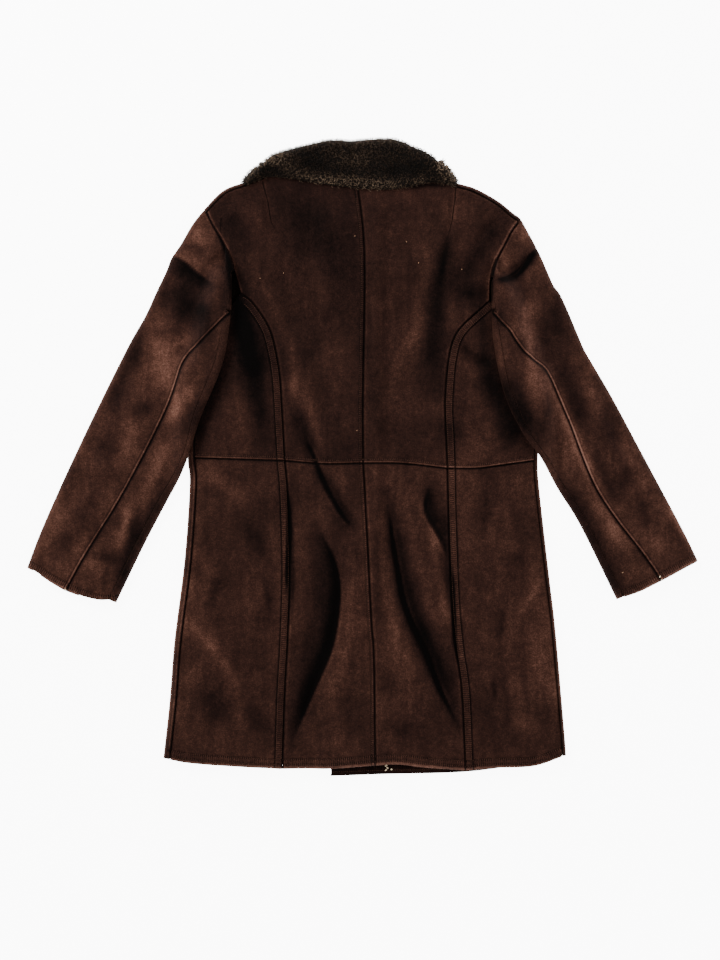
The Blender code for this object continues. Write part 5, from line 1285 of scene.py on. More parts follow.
def paintNapAndShade(piece, node, side):
    # how light the suede is at each point, for the suede material: streaks in the nap, painted shade and
    # painted highlights at folds, seams, edges and beside the sleeves, and painted light and shade on the
    # puckers
    count = len(piece.data.vertices)
    points = np.empty(count * 3, np.float32)
    piece.data.vertices.foreach_get("co", points)
    x, y = points.reshape(-1, 3)[:, :2].astype(float).T
    sleeve = node.startswith("sleeve")
    # streaks in the nap with painted shade and highlights, then the sharp folds' painted shade and painted
    # highlights
    tone = streaks(x, y, toneLines[side if sleeve else "body"])
    dark, light = foldShade(x, y, sharpSleeveLines[side] if sleeve else sharpLines)
    tone += light - dark + napShift.get(f"{node}_{side}", 0.0)
    # how strongly the painted light and shade of the puckers shows here, where the stitches draw up the
    # skin, and how far along its seam each point lies
    ticks, run = np.zeros(len(x)), np.zeros(len(x))

    def drawnUp(line, gap, share, near, far, strength):
        amount = strength * band(gap, near, far)
        run[amount > ticks] = (share * line.length)[amount > ticks]
        ticks[:] = np.maximum(ticks, amount)

    if node == "front":
        shaded = (y < frontNap["hemY"]) & (np.abs(x) < frontNap["hemHalf"])
        tone = tone * frontNap["streaks"] - frontNap["shade"] * shaded
    for name in seamsOf[node]:
        gap, share, _ = lineNamed(name, side).nearest(x, y)
        if name == "elbow" or name.startswith("waist"):
            # one side of the seam stands up and gets a painted highlight, the other gets painted shade
            if node in ("sleeve_top", "back", "side_back"):
                tone += (0.9 if sleeve else 1.3) * bell(gap - 0.0013, 0.0008)
                tone -= 0.6 * bell(gap - 0.0032, 0.0009) * sleeve
            else:
                tone -= 3.2 * bell(gap, 0.0024 if sleeve else 0.0017)
        else:
            tone += seamTone(gap)
        if name.startswith("princess") and node in ("side_back", "skirt_side"):
            tone += stitchTone(gap - cloth["princessBand"], 1.3) + stitchTone(gap - 0.0030, 0.35)
            drawnUp(lineNamed(name, side), gap, share, 0.0012, 0.0108, 0.7)
        if name.startswith("centre") and side == "left":
            tone += stitchTone(gap - sewing["centre"], 1.0)
            drawnUp(lineNamed(name, side), gap, share, 0.0008, 0.0056, 0.7)
        if name.startswith("waist") and node in ("back", "side_back"):
            tone += stitchTone(gap - sewing["waist"], 0.4)
            drawnUp(lineNamed(name, side), gap, share, 0.0024, 0.0070, 0.9)
    if node in ("sleeve_top", "back"):
        # the back's edge lies over the sleeve and is painted lighter along it; the sleeve beside it gets
        # painted shade, deeper lower down
        gap, share, _ = seams[side]["armhole"].nearest(x, y)
        low = ease((share - 0.25) / 0.5)
        if sleeve:
            reach = 0.0012 + (0.0105 if side == "left" else 0.0016) * low
            tone -= 2.4 * bell(gap, reach) * (0.5 + 0.5 * low)
        else:
            tone += 1.0 * bell(gap - 0.0018, 0.0016)
    if node in edgesOf:
        gap, share, _ = seams[side][edgesOf[node]].nearest(x, y)
        inset = sewing["cuff" if sleeve else "hem"]
        for row in (inset, sewing["edge"]):
            drawnUp(seams[side][edgesOf[node]], gap, share, row - 0.0026, row + 0.0020, 1.2)
        drawnUp(seams[side][edgesOf[node]], gap, share, 0.0015, inset + 0.0010, 0.35)
        tone += stitchTone(gap - inset, 0.8)
        tone += (0.4 if node == "front" else 0.9) * bell(gap - 0.0012, 0.0016)
        if not sleeve:
            tone += stitchTone(gap - sewing["edge"], 0.7)
    if node in ("skirt_side", "side_back", "front"):
        gap, share, _ = seams[side]["side"].nearest(x, y)
        width = sideWidth(side, share)
        tone -= (1.6 if side == "left" else 0.9) * bell(gap - width, 0.0011)
        tone += 0.8 * bell(gap, 0.0022)
        if side == "left":
            tone += 1.0 * bell(gap - width + 0.0034, 0.0012)
            tone -= 1.0 * bell(gap - width + 0.0060, 0.0009)
    if node == "back":
        tone += dartSize["rim"] * dartRim(x, y, side, dartSize["reach"])
    if node in ("back", "front"):
        gap, share, _ = seams[side]["outline"].nearest(x, y)
        tone += seamTone(np.abs(gap - cloth["shoulderFold"]), 0.8) * (share < shoulderShare[side] + 0.01)
    store(piece, tone=tone, ticks=ticks, run=run)


def addNode(tree, kind, links=None, values=None, **settings):
    node = tree.nodes.new(kind)
    for key, value in settings.items():
        setattr(node, key, value)
    for key, value in (values or {}).items():
        node.inputs[key].default_value = value
    for key, socket in (links or {}).items():
        tree.links.new(socket, node.inputs[key])
    return node


# materials


def newTree(name, kind, inputs, outputs):
    tree = bpy.data.node_groups.new(name, kind)
    for label, form, value in inputs:
        socket = tree.interface.new_socket(label, in_out="INPUT", socket_type="NodeSocket" + form)
        if value is not None:
            socket.default_value = value
    for label, form in outputs:
        tree.interface.new_socket(label, in_out="OUTPUT", socket_type="NodeSocket" + form)
    return tree, tree.nodes.new("NodeGroupInput"), tree.nodes.new("NodeGroupOutput")


def math2(tree, operation, a, b):
    node = tree.nodes.new("ShaderNodeMath")
    node.operation = operation
    for socket, value in zip(node.inputs, (a, b)):
        if isinstance(value, (int, float)):
            socket.default_value = value
        else:
            tree.links.new(value, socket)
    return node.outputs[0]


def mixIn(tree, base, part, weight):
    return math2(tree, "ADD", base, math2(tree, "MULTIPLY", part, weight))


def noiseAt(tree, vector, scale, detail=3.0, rough=0.55, stretch=None, distortion=0.0):
    if stretch:
        mapping = addNode(tree, "ShaderNodeMapping", {"Vector": vector}, {"Scale": stretch})
        vector = mapping.outputs["Vector"]
    noise = addNode(tree, "ShaderNodeTexNoise", {"Vector": vector},
                    {"Detail": detail, "Roughness": rough, "Distortion": distortion})
    if isinstance(scale, (int, float)):
        noise.inputs["Scale"].default_value = scale
    else:
        tree.links.new(scale, noise.inputs["Scale"])
    return math2(tree, "SUBTRACT", noise.outputs["Fac"], 0.5)


def rampNode(tree, value, stopsList):
    ramp = tree.nodes.new("ShaderNodeValToRGB")
    tree.links.new(value, ramp.inputs["Fac"])
    elements = ramp.color_ramp.elements
    while len(elements) < len(stopsList):
        elements.new(0.5)
    for element, (place, colour) in zip(elements, stopsList):
        element.position = place
        element.color = (*colour, 1)
    return ramp.outputs["Color"]


def makeSuedeGroup():
    tree, source, sink = newTree("suedeNap", "ShaderNodeTree", (
        ("Vector", "Vector", None), ("Tone", "Float", 0.0),
        ("Ticks", "Float", 0.0), ("Run", "Float", 0.0),
        ("Mottle", "Float", 1.0), ("Nap Scale", "Float", 620.0),
    ), (("Color", "Color"), ("Height", "Float")))
    vector, tone = source.outputs["Vector"], source.outputs["Tone"]
    cloud = noiseAt(tree, vector, 11.0, 4.0, 0.6, distortion=0.6)
    patch = noiseAt(tree, vector, 38.0, 4.0, 0.6, distortion=0.8)
    speck = noiseAt(tree, vector, 170.0, 3.0, 0.6)
    streak = noiseAt(tree, vector, 9.0, 4.0, 0.65, stretch=(9.0, 1.6, 1.0), distortion=0.3)
    grain = noiseAt(tree, vector, source.outputs["Nap Scale"], 2.0, 0.6)
    mottle = math2(tree, "MULTIPLY", cloud, 1.2)
    for part, weight in ((patch, 0.60), (speck, 0.80), (streak, 0.70), (grain, 1.5)):
        mottle = mixIn(tree, mottle, part, weight)
    mottle = math2(tree, "MULTIPLY", mottle, source.outputs["Mottle"])
    # painted light and shade on short puckers where the stitches draw up the skin, one to a stitch; the same
    # waves also feed the bump
    phase = mixIn(tree, math2(tree, "MULTIPLY", source.outputs["Run"], 2094.0), speck, 6.0)
    wave = math2(tree, "SINE", phase, 0.0)
    wave = math2(tree, "MULTIPLY", wave, source.outputs["Ticks"])
    tone = mixIn(tree, tone, wave, 0.60)
    level = math2(tree, "ADD", math2(tree, "MULTIPLY", math2(tree, "ADD", tone, mottle), 0.25), 0.5)
    colour = rampNode(tree, level, (
        (0.02, (0.0006, 0.0004, 0.0004)), (0.20, (0.0030, 0.0014, 0.0012)),
        (0.36, (0.0090, 0.0038, 0.0030)), (0.50, (0.0190, 0.0078, 0.0056)),
        (0.62, (0.0370, 0.0152, 0.0103)), (0.76, (0.0780, 0.0340, 0.0235)), (0.92, (0.150, 0.074, 0.054)),
    ))
    tree.links.new(colour, sink.inputs["Color"])
    height = math2(tree, "MULTIPLY", grain, 0.5)
    for part, weight in ((speck, 0.8), (patch, 1.2), (wave, 0.5)):
        height = mixIn(tree, height, part, weight)
    tree.links.new(height, sink.inputs["Height"])
    return tree


def principled(name, sheen=0.0, sheenColour=(1, 1, 1), roughness=0.9, specular=0.04):
    material = bpy.data.materials.new(name)
    material.use_nodes = True
    shader = material.node_tree.nodes["Principled BSDF"]
    for label, value in (("Roughness", roughness), ("Specular IOR Level", specular), ("Sheen Weight", sheen),
                         ("Sheen Roughness", 0.5), ("Sheen Tint", (*sheenColour, 1))):
        shader.inputs[label].default_value = value
    return material, material.node_tree, shader


def useGroup(tree, group, shader, values, bump, attributes=None):
    place = tree.nodes.new("ShaderNodeTexCoord")
    node = tree.nodes.new("ShaderNodeGroup")
    node.node_tree = group
    tree.links.new(place.outputs["Object"], node.inputs["Vector"])
    for key, value in values.items():
        node.inputs[key].default_value = value
    for name, target in (attributes or {}).items():
        reader = addNode(tree, "ShaderNodeAttribute", attribute_name=name)
        tree.links.new(reader.outputs["Fac"], node.inputs[target])
    dent = addNode(tree, "ShaderNodeBump", {"Height": node.outputs["Height"]},
                   {"Strength": bump[0], "Distance": bump[1]})
    tree.links.new(node.outputs["Color"], shader.inputs["Base Color"])
    tree.links.new(dent.outputs["Normal"], shader.inputs["Normal"])


suedeLook = {"mottle": 1.25, "napScale": 620.0, "sheen": 0.04, "bump": 0.55, "bumpDepth": 0.0011}
suedeGroup = makeSuedeGroup()
suedeMaterial, suedeTree, suedeShader = principled("darkSuede", suedeLook["sheen"], (0.50, 0.24, 0.17))
useGroup(suedeTree, suedeGroup, suedeShader,
         {"Mottle": suedeLook["mottle"], "Nap Scale": suedeLook["napScale"]},
         (suedeLook["bump"], suedeLook["bumpDepth"]), {"tone": "Tone", "ticks": "Ticks", "run": "Run"})


def makeWoolGroup():
    tree, source, sink = newTree("woolPile", "ShaderNodeTree", (
        ("Vector", "Vector", None), ("Tip", "Float", 0.5),
        ("Shade", "Float", 0.5), ("Along", "Float", 0.3),
        ("Pile Scale", "Float", 420.0),
    ), (("Color", "Color"), ("Height", "Float")))
    vector = source.outputs["Vector"]
    cloud = noiseAt(tree, vector, 45.0, 4.0, 0.6)
    pile = noiseAt(tree, vector, source.outputs["Pile Scale"], 3.0, 0.6)
    # dark at each curl's root and paler towards its tip; the Tip input sets how pale, and on the collar it
    # also carries painted shade and painted highlights
    pale = math2(tree, "ADD", math2(tree, "MULTIPLY", source.outputs["Tip"], 0.85), 0.20)
    level = math2(tree, "MULTIPLY", pale, source.outputs["Along"])
    for part, weight in ((source.outputs["Shade"], 0.30), (cloud, 0.18), (pile, 0.12)):
        level = mixIn(tree, level, part, weight)
    colour = rampNode(tree, level, (
        (0.05, (0.0010, 0.0007, 0.0005)), (0.24, (0.0050, 0.0030, 0.0019)),
        (0.44, (0.0190, 0.0108, 0.0068)), (0.70, (0.062, 0.040, 0.0255)), (0.95, (0.17, 0.118, 0.078)),
    ))
    tree.links.new(colour, sink.inputs["Color"])
    tree.links.new(pile, sink.inputs["Height"])
    return tree


woolGroup = makeWoolGroup()
woolMaterial, woolTree, woolShader = principled("clippedWool", 0.1, (0.5, 0.4, 0.3), 1.0)
useGroup(woolTree, woolGroup, woolShader, {"Tip": 0.2, "Along": 0.2, "Shade": 0.3}, (0.8, 0.0020))
furMaterial, furTree, furShader = principled("curlyFur", 0.05, (0.5, 0.4, 0.3), 0.75, 0.06)
useGroup(furTree, woolGroup, furShader, {"Pile Scale": 600.0}, (0.3, 0.0006),
         {"tip": "Tip", "shade": "Shade", "along": "Along"})


def plainMaterial(name, colour, roughness):
    material, _, shader = principled(name, roughness=roughness)
    shader.inputs["Base Color"].default_value = (*colour, 1)
    return material


# how far a wall's rim bulges, at a seam and at a hem, and how near a hem counts as on it
rimSizes = {"seam": 0.00005, "hem": 0.0012, "near": 0.0012}


def flatRim(points):
    return np.full(len(points), rimSizes["seam"])


def hemRim(points):
    gaps = [seams[side][name].nearest(points[:, 0], points[:, 1])[0]
            for side in seams for name in ("hemInner", "hemOuter", "frontHem", "cuff")]
    return rimSizes["seam"] + rimSizes["hem"] * (np.min(gaps, axis=0) < rimSizes["near"])


makers = {
    "back": (upperBack, "upperBack"),
    "side_back": (upperSideBack, "sideBack"),
    "skirt_back": (skirtBack, "skirtBack"),
    "skirt_side": (skirtSide, "skirtSide"),
    "front": (front, "front"),
    "sleeve_top": (topSleeve, "topSleeve"),
    "sleeve_under": (underSleeve, "underSleeve"),
}
panels = {}
# from the traced lines to the frame's own middle in Y
lineShift = 0.00025
# how far the left back's seam allowance reaches under the right half, and how near the seam it starts
centreLap = {"reach": 0.0012, "near": 0.0005}
# how much of the fronts' hem is turned in
frontTurn = 0.018
for node, (maker, title) in makers.items():
    for side in ("left", "right"):
        patches = maker(side)
        for outer, inner in patches:
            if node == "back" and side == "left":
                gap = centreUpper.nearest(inner[..., 0], inner[..., 1])[0]
                inner[..., 0] += centreLap["reach"] * (gap < centreLap["near"])
            outer[..., 1] -= lineShift
            inner[..., 1] -= lineShift
        piece = buildWall(f"{title}.{side}", patches, hemRim, suedeMaterial)
        dress(piece, f"{node}_{side}")
        paintNapAndShade(piece, node, side)
        if node == "front":
            # the turned hem of the fronts is suede on the inside too
            centres = np.array([tuple(face.center[:2]) for face in piece.data.polygons])
            slots = np.array([face.material_index for face in piece.data.polygons])
            gap = seams[side]["frontHem"].nearest(centres[:, 0], centres[:, 1])[0]
            piece.data.polygons.foreach_set("material_index", np.where(gap < frontTurn, 0, slots))
        panels[node, side] = piece
print("coat: panels made")


# collar

collarSizes = {
    "bareSpots": ((-0.1479, 0.4268), (0.1095, 0.4297)),
    "backFur": 0.012, "frontFur": 0.006, "edgeFur": 0.006, "roll": 0.009, "squash": 0.85,
    "neckClear": 0.0022, "underCurls": 0.0032,
    "bareReach": 0.0050, "lowest": 0.0055,
}
standIn = cloth["layerGap"] / 2
standOut = standIn + cloth["wall"]
fallIn = standOut + 0.0009
frontSkin = fallIn + collarSizes["frontFur"]
# x and y of the fold, free edge and neck seam of each section, in millimetres, from the centre back out
collarBack = {
    "left": (
        (-16.5, 448, -11, 389, -8, 397),
        (-44, 449, -43, 392.5, -40, 400),
        (-79, 441.5, -78, 398, -72, 405),
        (-108, 433.5, -108, 403, -103, 409),
        (-126, 427.5, -138, 404, -130, 409.5),
        (-137.5, 416.5, -170, 392, -146.5, 401),
    ),
    "right": (
        (-16.5, 448, -11, 389, -8, 397),
        (14, 450.5, 15, 387, 12, 396.5),
        (44, 450, 40, 387, 40, 397.5),
        (70, 439.5, 72, 391.5, 69, 400.5),
        (92, 429, 102, 397, 98, 403),
        (106, 418, 134.5, 391.5, 110.5, 398.5),
    ),
}
collarFront = {
    "left": (
        (-130, 410, -158, 356, -138, 391),
        (-100, 397, -115, 318, -120, 365),
        (-60, 383, -70, 299, -60, 340),
        (-25, 378, -30, 292, -25, 335.5),
    ),
    "right": (
        (98, 408, 124, 356, 102, 389.5),
        (75, 397, 86, 318, 85, 365),
        (40, 383, 45, 299, 30, 341),
        (0, 378, 0, 292, 0, 336.5),
    ),
}
collarTurn = {"left": ((-0.95, 0.30), (-0.35, 0.94)), "right": ((0.90, 0.43), (0.30, 0.95))}


def unit(vector):
    return np.array(vector, float) / np.linalg.norm(vector)


def denser(rows, steps):
    # sections between the named ones, on a smooth line through them
    rows = np.array([[metres(value) for value in row] for row in rows])
    columns = [SmoothLine(rows[:, k:k + 2], steps).points for k in (0, 2, 4)]
    return np.concatenate(columns, axis=1)


def foldNormals(rows):
    runs = np.gradient(np.array(rows)[:, :2], axis=0)
    normals = np.stack((-runs[:, 1], runs[:, 0]), axis=1) * np.sign(runs[:, :1] + 1e-12)
    return normals / np.linalg.norm(normals, axis=1, keepdims=True)


def collarSection(row, out, fur, edgeFur):
    fold, edge, neck = row[0:2], row[2:4], row[4:6]
    neck = neck + unit(fold - neck) * collarSizes["neckClear"]
    places, wool, skinSide = [], [], []
    for step in np.linspace(0, 1, 6):
        places.append((neck + (fold - neck) * step,) * 2)
        wool.append(standIn)
        skinSide.append(standOut)
    middle, half = (standIn + fallIn + fur) / 2, (fallIn + fur - standIn) / 2
    for angle in np.linspace(-math.pi / 2, math.pi / 2, 13)[1:-1]:
        places.append((fold + out * collarSizes["roll"] * math.cos(angle),
                       fold + out * 0.0004 * math.cos(angle)))
        wool.append(middle + half * math.sin(angle))
        skinSide.append((standOut + fallIn) / 2 + (fallIn - standOut) / 2 * math.sin(angle))
    for step in np.linspace(0, 1, 14):
        places.append((fold + (edge - fold) * step,) * 2)
        wool.append(fallIn + fur + (edgeFur - fur) * step**2)
        skinSide.append(fallIn)
    return places, wool, skinSide, 17


def collarHalf(side, lower):
    # lower is how far the form under the curls lies below the tips of the fur
    foldTurn, edgeTurn = (unit(turn) for turn in collarTurn[side])
    backRows = denser(collarBack[side], 5)
    frontRows = denser((collarBack[side][-1],) + collarFront[side], 3)
    backOut, frontOut = foldNormals(backRows), foldNormals(frontRows)
    backOut[:4] += (np.array((0.0, 1.0)) - backOut[:4]) * np.array((1.0, 0.6, 0.3, 0.1))[:, None]
    back = [(row, math.pi / 2, out) for row, out in zip(backRows, backOut)]
    ends = [(backRows[-1], math.pi / 2 - math.pi * step / 14,
             unit(backOut[-1] * (1 - step / 14) + frontOut[0] * step / 14)) for step in range(1, 14)]
    fronts = [(row, -math.pi / 2, out) for row, out in zip(frontRows, frontOut)]
    last = len(back) - 1
    outerRows, innerRows = [], []
    for index, (row, angle, out) in enumerate(back + ends + fronts):
        nearEnd = min(1.0, max(0.0, 1 - abs(index - last - 7) / 15))
        edgeFur = collarSizes["edgeFur"] - 0.002 * nearEnd
        fur = collarSizes["frontFur"] + (collarSizes["backFur"] - collarSizes["frontFur"]) * (
            0.5 + 0.5 * math.sin(angle))
        places, wool, skinSide, standCount = collarSection(row, out, fur - lower, edgeFur - lower * 0.8)
        outerRow, innerRow = [], []
        for step, (spots, woolLevel, skinLevel) in enumerate(zip(places, wool, skinSide)):
            share = 0.0 if step < standCount else (step - standCount + 1) / (len(places) - standCount)
            turn = foldTurn + (edgeTurn - foldTurn) * share
            if step < 6:
                turn = edgeTurn + (foldTurn - edgeTurn) * step / 5
            turn = unit(turn)
            for spot, level, found in ((spots[0], woolLevel, outerRow), (spots[1], skinLevel, innerRow)):
                flat = spot + turn * level * collarSizes["squash"] * math.cos(angle)
                middle = frontSkin - float(neckSagAt(flat[0], flat[1])) * (angle > 0) * math.sin(angle)
                found.append((flat[0], flat[1], middle + level * math.sin(angle)))
        outerRows.append(outerRow)
        innerRows.append(innerRow)
    outer, inner = np.array(outerRows), np.array(innerRows)
    return outer, inner


def nodeTree(name, sockets):
    inputs = (("Geometry", "Geometry", None), *sockets)
    return newTree(name, "GeometryNodeTree", inputs, (("Geometry", "Geometry"),))


def grow(source, tree, values, name):
    # runs a Geometry Nodes tree on a piece and gives its result as a plain mesh
    modifier = source.modifiers.new("grow", "NODES")
    modifier.node_group = tree
    keys = {item.name: item.identifier for item in tree.interface.items_tree if item.in_out == "INPUT"}
    for label, value in values.items():
        modifier[keys[label]] = value
    graph = bpy.context.evaluated_depsgraph_get()
    mesh = bpy.data.meshes.new_from_object(source.evaluated_get(graph), depsgraph=graph)
    source.modifiers.remove(modifier)
    mesh.name = name
    return linked(name, mesh)


def randomValue(tree, seed, low=None, high=None):
    # one number to an instance, from 0 to 1 or between two sockets
    node = addNode(tree, "FunctionNodeRandomValue", {"Seed": seed}, data_type="FLOAT")
    for index, socket in ((2, low), (3, high)):
        if socket:
            tree.links.new(socket, node.inputs[index])
    return node.outputs[1]


def finishTree(tree, instances, source, sink):
    solid = addNode(tree, "GeometryNodeRealizeInstances", {"Geometry": instances})
    dressed = addNode(tree, "GeometryNodeSetMaterial",
                      {"Geometry": solid.outputs["Geometry"], "Material": source.outputs["Material"]})
    tree.links.new(dressed.outputs["Geometry"], sink.inputs["Geometry"])
    return tree


def makeCurlTree():
    tree, source, sink = nodeTree("curlyWool", (
        ("Curl", "Object", None), ("Spacing", "Float", 0.0024),
        ("Density", "Float", 400000.0), ("Seed", "Int", 1),
        ("Smallest", "Float", 0.7), ("Largest", "Float", 1.3),
        ("Material", "Material", None),
    ))
    spots = addNode(tree, "GeometryNodeDistributePointsOnFaces",
                    {"Mesh": source.outputs["Geometry"], "Distance Min": source.outputs["Spacing"],
                     "Density Max": source.outputs["Density"], "Seed": source.outputs["Seed"]},
                    distribute_method="POISSON")
    isWool = addNode(tree, "GeometryNodeInputNamedAttribute", values={"Name": "wool"}, data_type="FLOAT")
    tree.links.new(isWool.outputs["Attribute"], spots.inputs["Density Factor"])
    spin = addNode(tree, "FunctionNodeRandomValue", {"Seed": source.outputs["Seed"]},
                   {"Min": (-0.45, -0.45, 0.0), "Max": (0.45, 0.45, 6.283)}, data_type="FLOAT_VECTOR")
    asRotation = addNode(tree, "FunctionNodeEulerToRotation", {"Euler": spin.outputs["Value"]})
    turned = addNode(tree, "FunctionNodeRotateRotation",
                     {"Rotation": spots.outputs["Rotation"], "Rotate By": asRotation.outputs["Rotation"]},
                     rotation_space="LOCAL")
    size = randomValue(tree, source.outputs["Seed"], source.outputs["Smallest"], source.outputs["Largest"])
    curl = addNode(tree, "GeometryNodeObjectInfo", {"Object": source.outputs["Curl"]})
    placed = addNode(tree, "GeometryNodeInstanceOnPoints",
                     {"Points": spots.outputs["Points"], "Instance": curl.outputs["Geometry"],
                      "Rotation": turned.outputs["Rotation"], "Scale": size})
    shaded = addNode(tree, "GeometryNodeStoreNamedAttribute",
                     {"Geometry": placed.outputs["Instances"],
                      "Value": randomValue(tree, source.outputs["Seed"])},
                     {"Name": "shade"}, data_type="FLOAT", domain="INSTANCE")
    return finishTree(tree, shaded.outputs["Geometry"], source, sink)


def makeCurl(turns=0.7, radius=0.0011, height=0.0042, thick=0.00052, steps=4, around=3):
    # one lock of wool: a thin tapered tube that winds and rises
    verts, faces, along = [], [], []
    for step in range(steps + 1):
        share = step / steps
        angle = turns * 2 * math.pi * share
        centre = Vector((radius * (math.cos(angle) - 1), radius * math.sin(angle),
                         -0.0012 + height * share))
        out = Vector((math.cos(angle), math.sin(angle), 0))
        width = thick * (1.0 - 0.75 * share**2)
        for k in range(around):
            turn = 2 * math.pi * k / around
            verts.append(centre + width * (out * math.cos(turn) + Vector((0, 0, 1)) * math.sin(turn)))
            along.append(share)
    for step in range(steps):
        for k in range(around):
            a, b = step * around + k, step * around + (k + 1) % around
            faces.append((a, a + around, b + around, b))
    faces.append(tuple(range(around)))
    faces.append(tuple(reversed(range(steps * around, (steps + 1) * around))))
    curl = newPiece("curl", verts, faces, smooth=True)
    store(curl, along=np.array(along))
    return curl


# how pale the fleece's tips are painted, in soft bands: pale tips along the edges and ends, painted
# highlights in the middle, and painted shade below nought in the hollows and under the curled edge;
# strength, reach and line of each band
tipPaleAndShadeBands = (
    (0.72, 10, -104, 413, -78, 403, -45, 397, -12, 396, 30, 393, 72, 397),
    (0.8, 10, -168, 404, -152, 421, -130, 429, -100, 429),
    (-0.5, 5, -150, 411, -135, 414, -118, 411),
    (0.45, 6, 72, 396, 95, 402),
    (0.8, 11, 104, 428, 118, 415, 134, 396),
    (0.45, 5.5, -98, 442, -60, 455, -15, 455, 45, 457, 85, 441),
    (0.28, 13, -45, 438, -15, 428, 15, 436),
    (-0.4, 13, -95, 428, -72, 424, -52, 418),
    (-0.45, 11, 20, 412, 50, 412, 80, 417, 98, 424),
    (-0.25, 6, -60, 414, -20, 410, 20, 406),
)
tipPaleAndShadeLines = softLines(tipPaleAndShadeBands, scale=float)
curlValues = {"Spacing": 0.00130, "Density": 600000.0, "Smallest": 0.75, "Largest": 1.35}
curlTree = makeCurlTree()
curl = makeCurl()
collarLocks = {}
for side in ("left", "right"):
    outer, inner = collarHalf(side, collarSizes["underCurls"])
    outer[..., 1] -= lineShift
    inner[..., 1] -= lineShift
    form = buildWall(f"collarSkin.{side}", [(outer, inner)], flatRim, furMaterial)
    place = np.array([tuple(vertex.co) for vertex in form.data.vertices])
    rows, columns = outer.shape[:2]
    wool = np.zeros(len(place), np.float32)
    # full on the fall, thin where the collar lies hidden under the coat, none near the surface it lies on
    density = np.ones((rows, columns))
    density[rows - 13:] = 0.05
    density[rows - 13:rows - 10] = 0.35
    density[:, :4] = 0.10
    _, first = np.unique(np.round(outer.reshape(-1, 3), 6), axis=0, return_index=True)
    wool[:len(first)] = density.ravel()[first] * (place[:len(first), 2] > collarSizes["lowest"])
    for spotX, spotY in collarSizes["bareSpots"]:
        wool[np.hypot(place[:, 0] - spotX, place[:, 1] - spotY) < collarSizes["bareReach"]] = 0
    # pale tips, painted shade and painted highlights in the collar's fleece
    tip = 0.14 + np.clip(streaks(place[:, 0], place[:, 1], tipPaleAndShadeLines), -0.45, 1)
    store(form, wool=wool, tip=tip, along=np.full(len(place), 0.15), shade=np.full(len(place), 0.2))
    values = dict(curlValues, Curl=curl, Seed=5 if side == "left" else 6, Material=furMaterial)
    locks = grow(form, curlTree, values, f"collarCurls.{side}")
    dress(form, f"collar_{side}")
    dress(locks)
    panels["collar", side], collarLocks[side] = form, locks
    print("coat: collar", side, len(locks.data.polygons), "faces of curls")
bpy.data.objects.remove(curl, do_unlink=True)

floorMaterial = plainMaterial("paleFloor", (0.93, 0.93, 0.93), 0.9)
floorGlow = floorMaterial.node_tree.nodes["Principled BSDF"].inputs
floorGlow["Emission Color"].default_value = (1, 1, 1, 1)
floorGlow["Emission Strength"].default_value = 9.0
floor = newPiece("floor", [(-3, -3, 0), (3, -3, 0), (3, 3, 0), (-3, 3, 0)], [(0, 1, 2, 3)], floorMaterial)

# each skin as it was cut: width and length of its piece, and its area, left and right
cuts = {
    "back": ((0.227, 0.417, 0.0675), (0.232, 0.415, 0.0668)),
    "side_back": ((0.131, 0.240, 0.0259), (0.129, 0.240, 0.0264)),
    "skirt_back": ((0.136, 0.445, 0.0569), (0.148, 0.443, 0.0568)),
    "skirt_side": ((0.173, 0.449, 0.0688), (0.165, 0.447, 0.0626)),
    "front": ((0.333, 0.860, 0.2217), (0.369, 0.875, 0.2546)),
    "sleeve_top": ((0.205, 0.600, 0.0997), (0.180, 0.590, 0.0862)),
    "sleeve_under": ((0.135, 0.470, 0.0534), (0.130, 0.465, 0.0516)),
    "collar": ((0.115, 0.350, 0.0333), (0.115, 0.355, 0.0337)),
}
under = {"back": ("front",), "side_back": ("front",), "skirt_back": ("front",), "skirt_side": ("front",),
         "collar": ("back", "front"), "front": (), "sleeve_top": (), "sleeve_under": ()}
for node, sizes in cuts.items():
    for side, (width, length, area) in zip(("left", "right"), sizes):
        [panels[name, side] for name in under[node]] or [floor]

# stitches and small bits

stitchValues = {"Pitch": 0.0030, "Slant": 0.20}
stitchSize = {"length": 0.0018, "thick": 0.00042, "sunk": 0.00005}
# the paths of the rows: their step, the lowest skin that is sewn and the highest step up or down
stitchPath = {"step": 0.004, "lowest": 0.005, "jump": 0.004}


def makeStitchTree():
    tree, source, sink = nodeTree("rowOfStitches", (
        ("Stitch", "Object", None), ("Pitch", "Float", 0.0032),
        ("Slant", "Float", 0.15), ("Seed", "Int", 1),
        ("Material", "Material", None),
    ))
    curve = addNode(tree, "GeometryNodeMeshToCurve", {"Mesh": source.outputs["Geometry"]})
    spots = addNode(tree, "GeometryNodeCurveToPoints",
                    {"Curve": curve.outputs["Curve"], "Length": source.outputs["Pitch"]}, mode="LENGTH")
    facing = addNode(tree, "FunctionNodeAlignRotationToVector", {"Vector": spots.outputs["Tangent"]},
                     axis="X", pivot_axis="Z")
    least = math2(tree, "MULTIPLY", source.outputs["Slant"], -1.0)
    slant = randomValue(tree, source.outputs["Seed"], least, source.outputs["Slant"])
    twist = addNode(tree, "FunctionNodeAxisAngleToRotation", {"Angle": slant})
    turned = addNode(tree, "FunctionNodeRotateRotation",
                     {"Rotation": facing.outputs["Rotation"], "Rotate By": twist.outputs["Rotation"]},
                     rotation_space="LOCAL")
    stitch = addNode(tree, "GeometryNodeObjectInfo", {"Object": source.outputs["Stitch"]})
    placed = addNode(tree, "GeometryNodeInstanceOnPoints",
                     {"Points": spots.outputs["Points"], "Instance": stitch.outputs["Geometry"],
                      "Rotation": turned.outputs["Rotation"]})
    return finishTree(tree, placed.outputs["Instances"], source, sink)


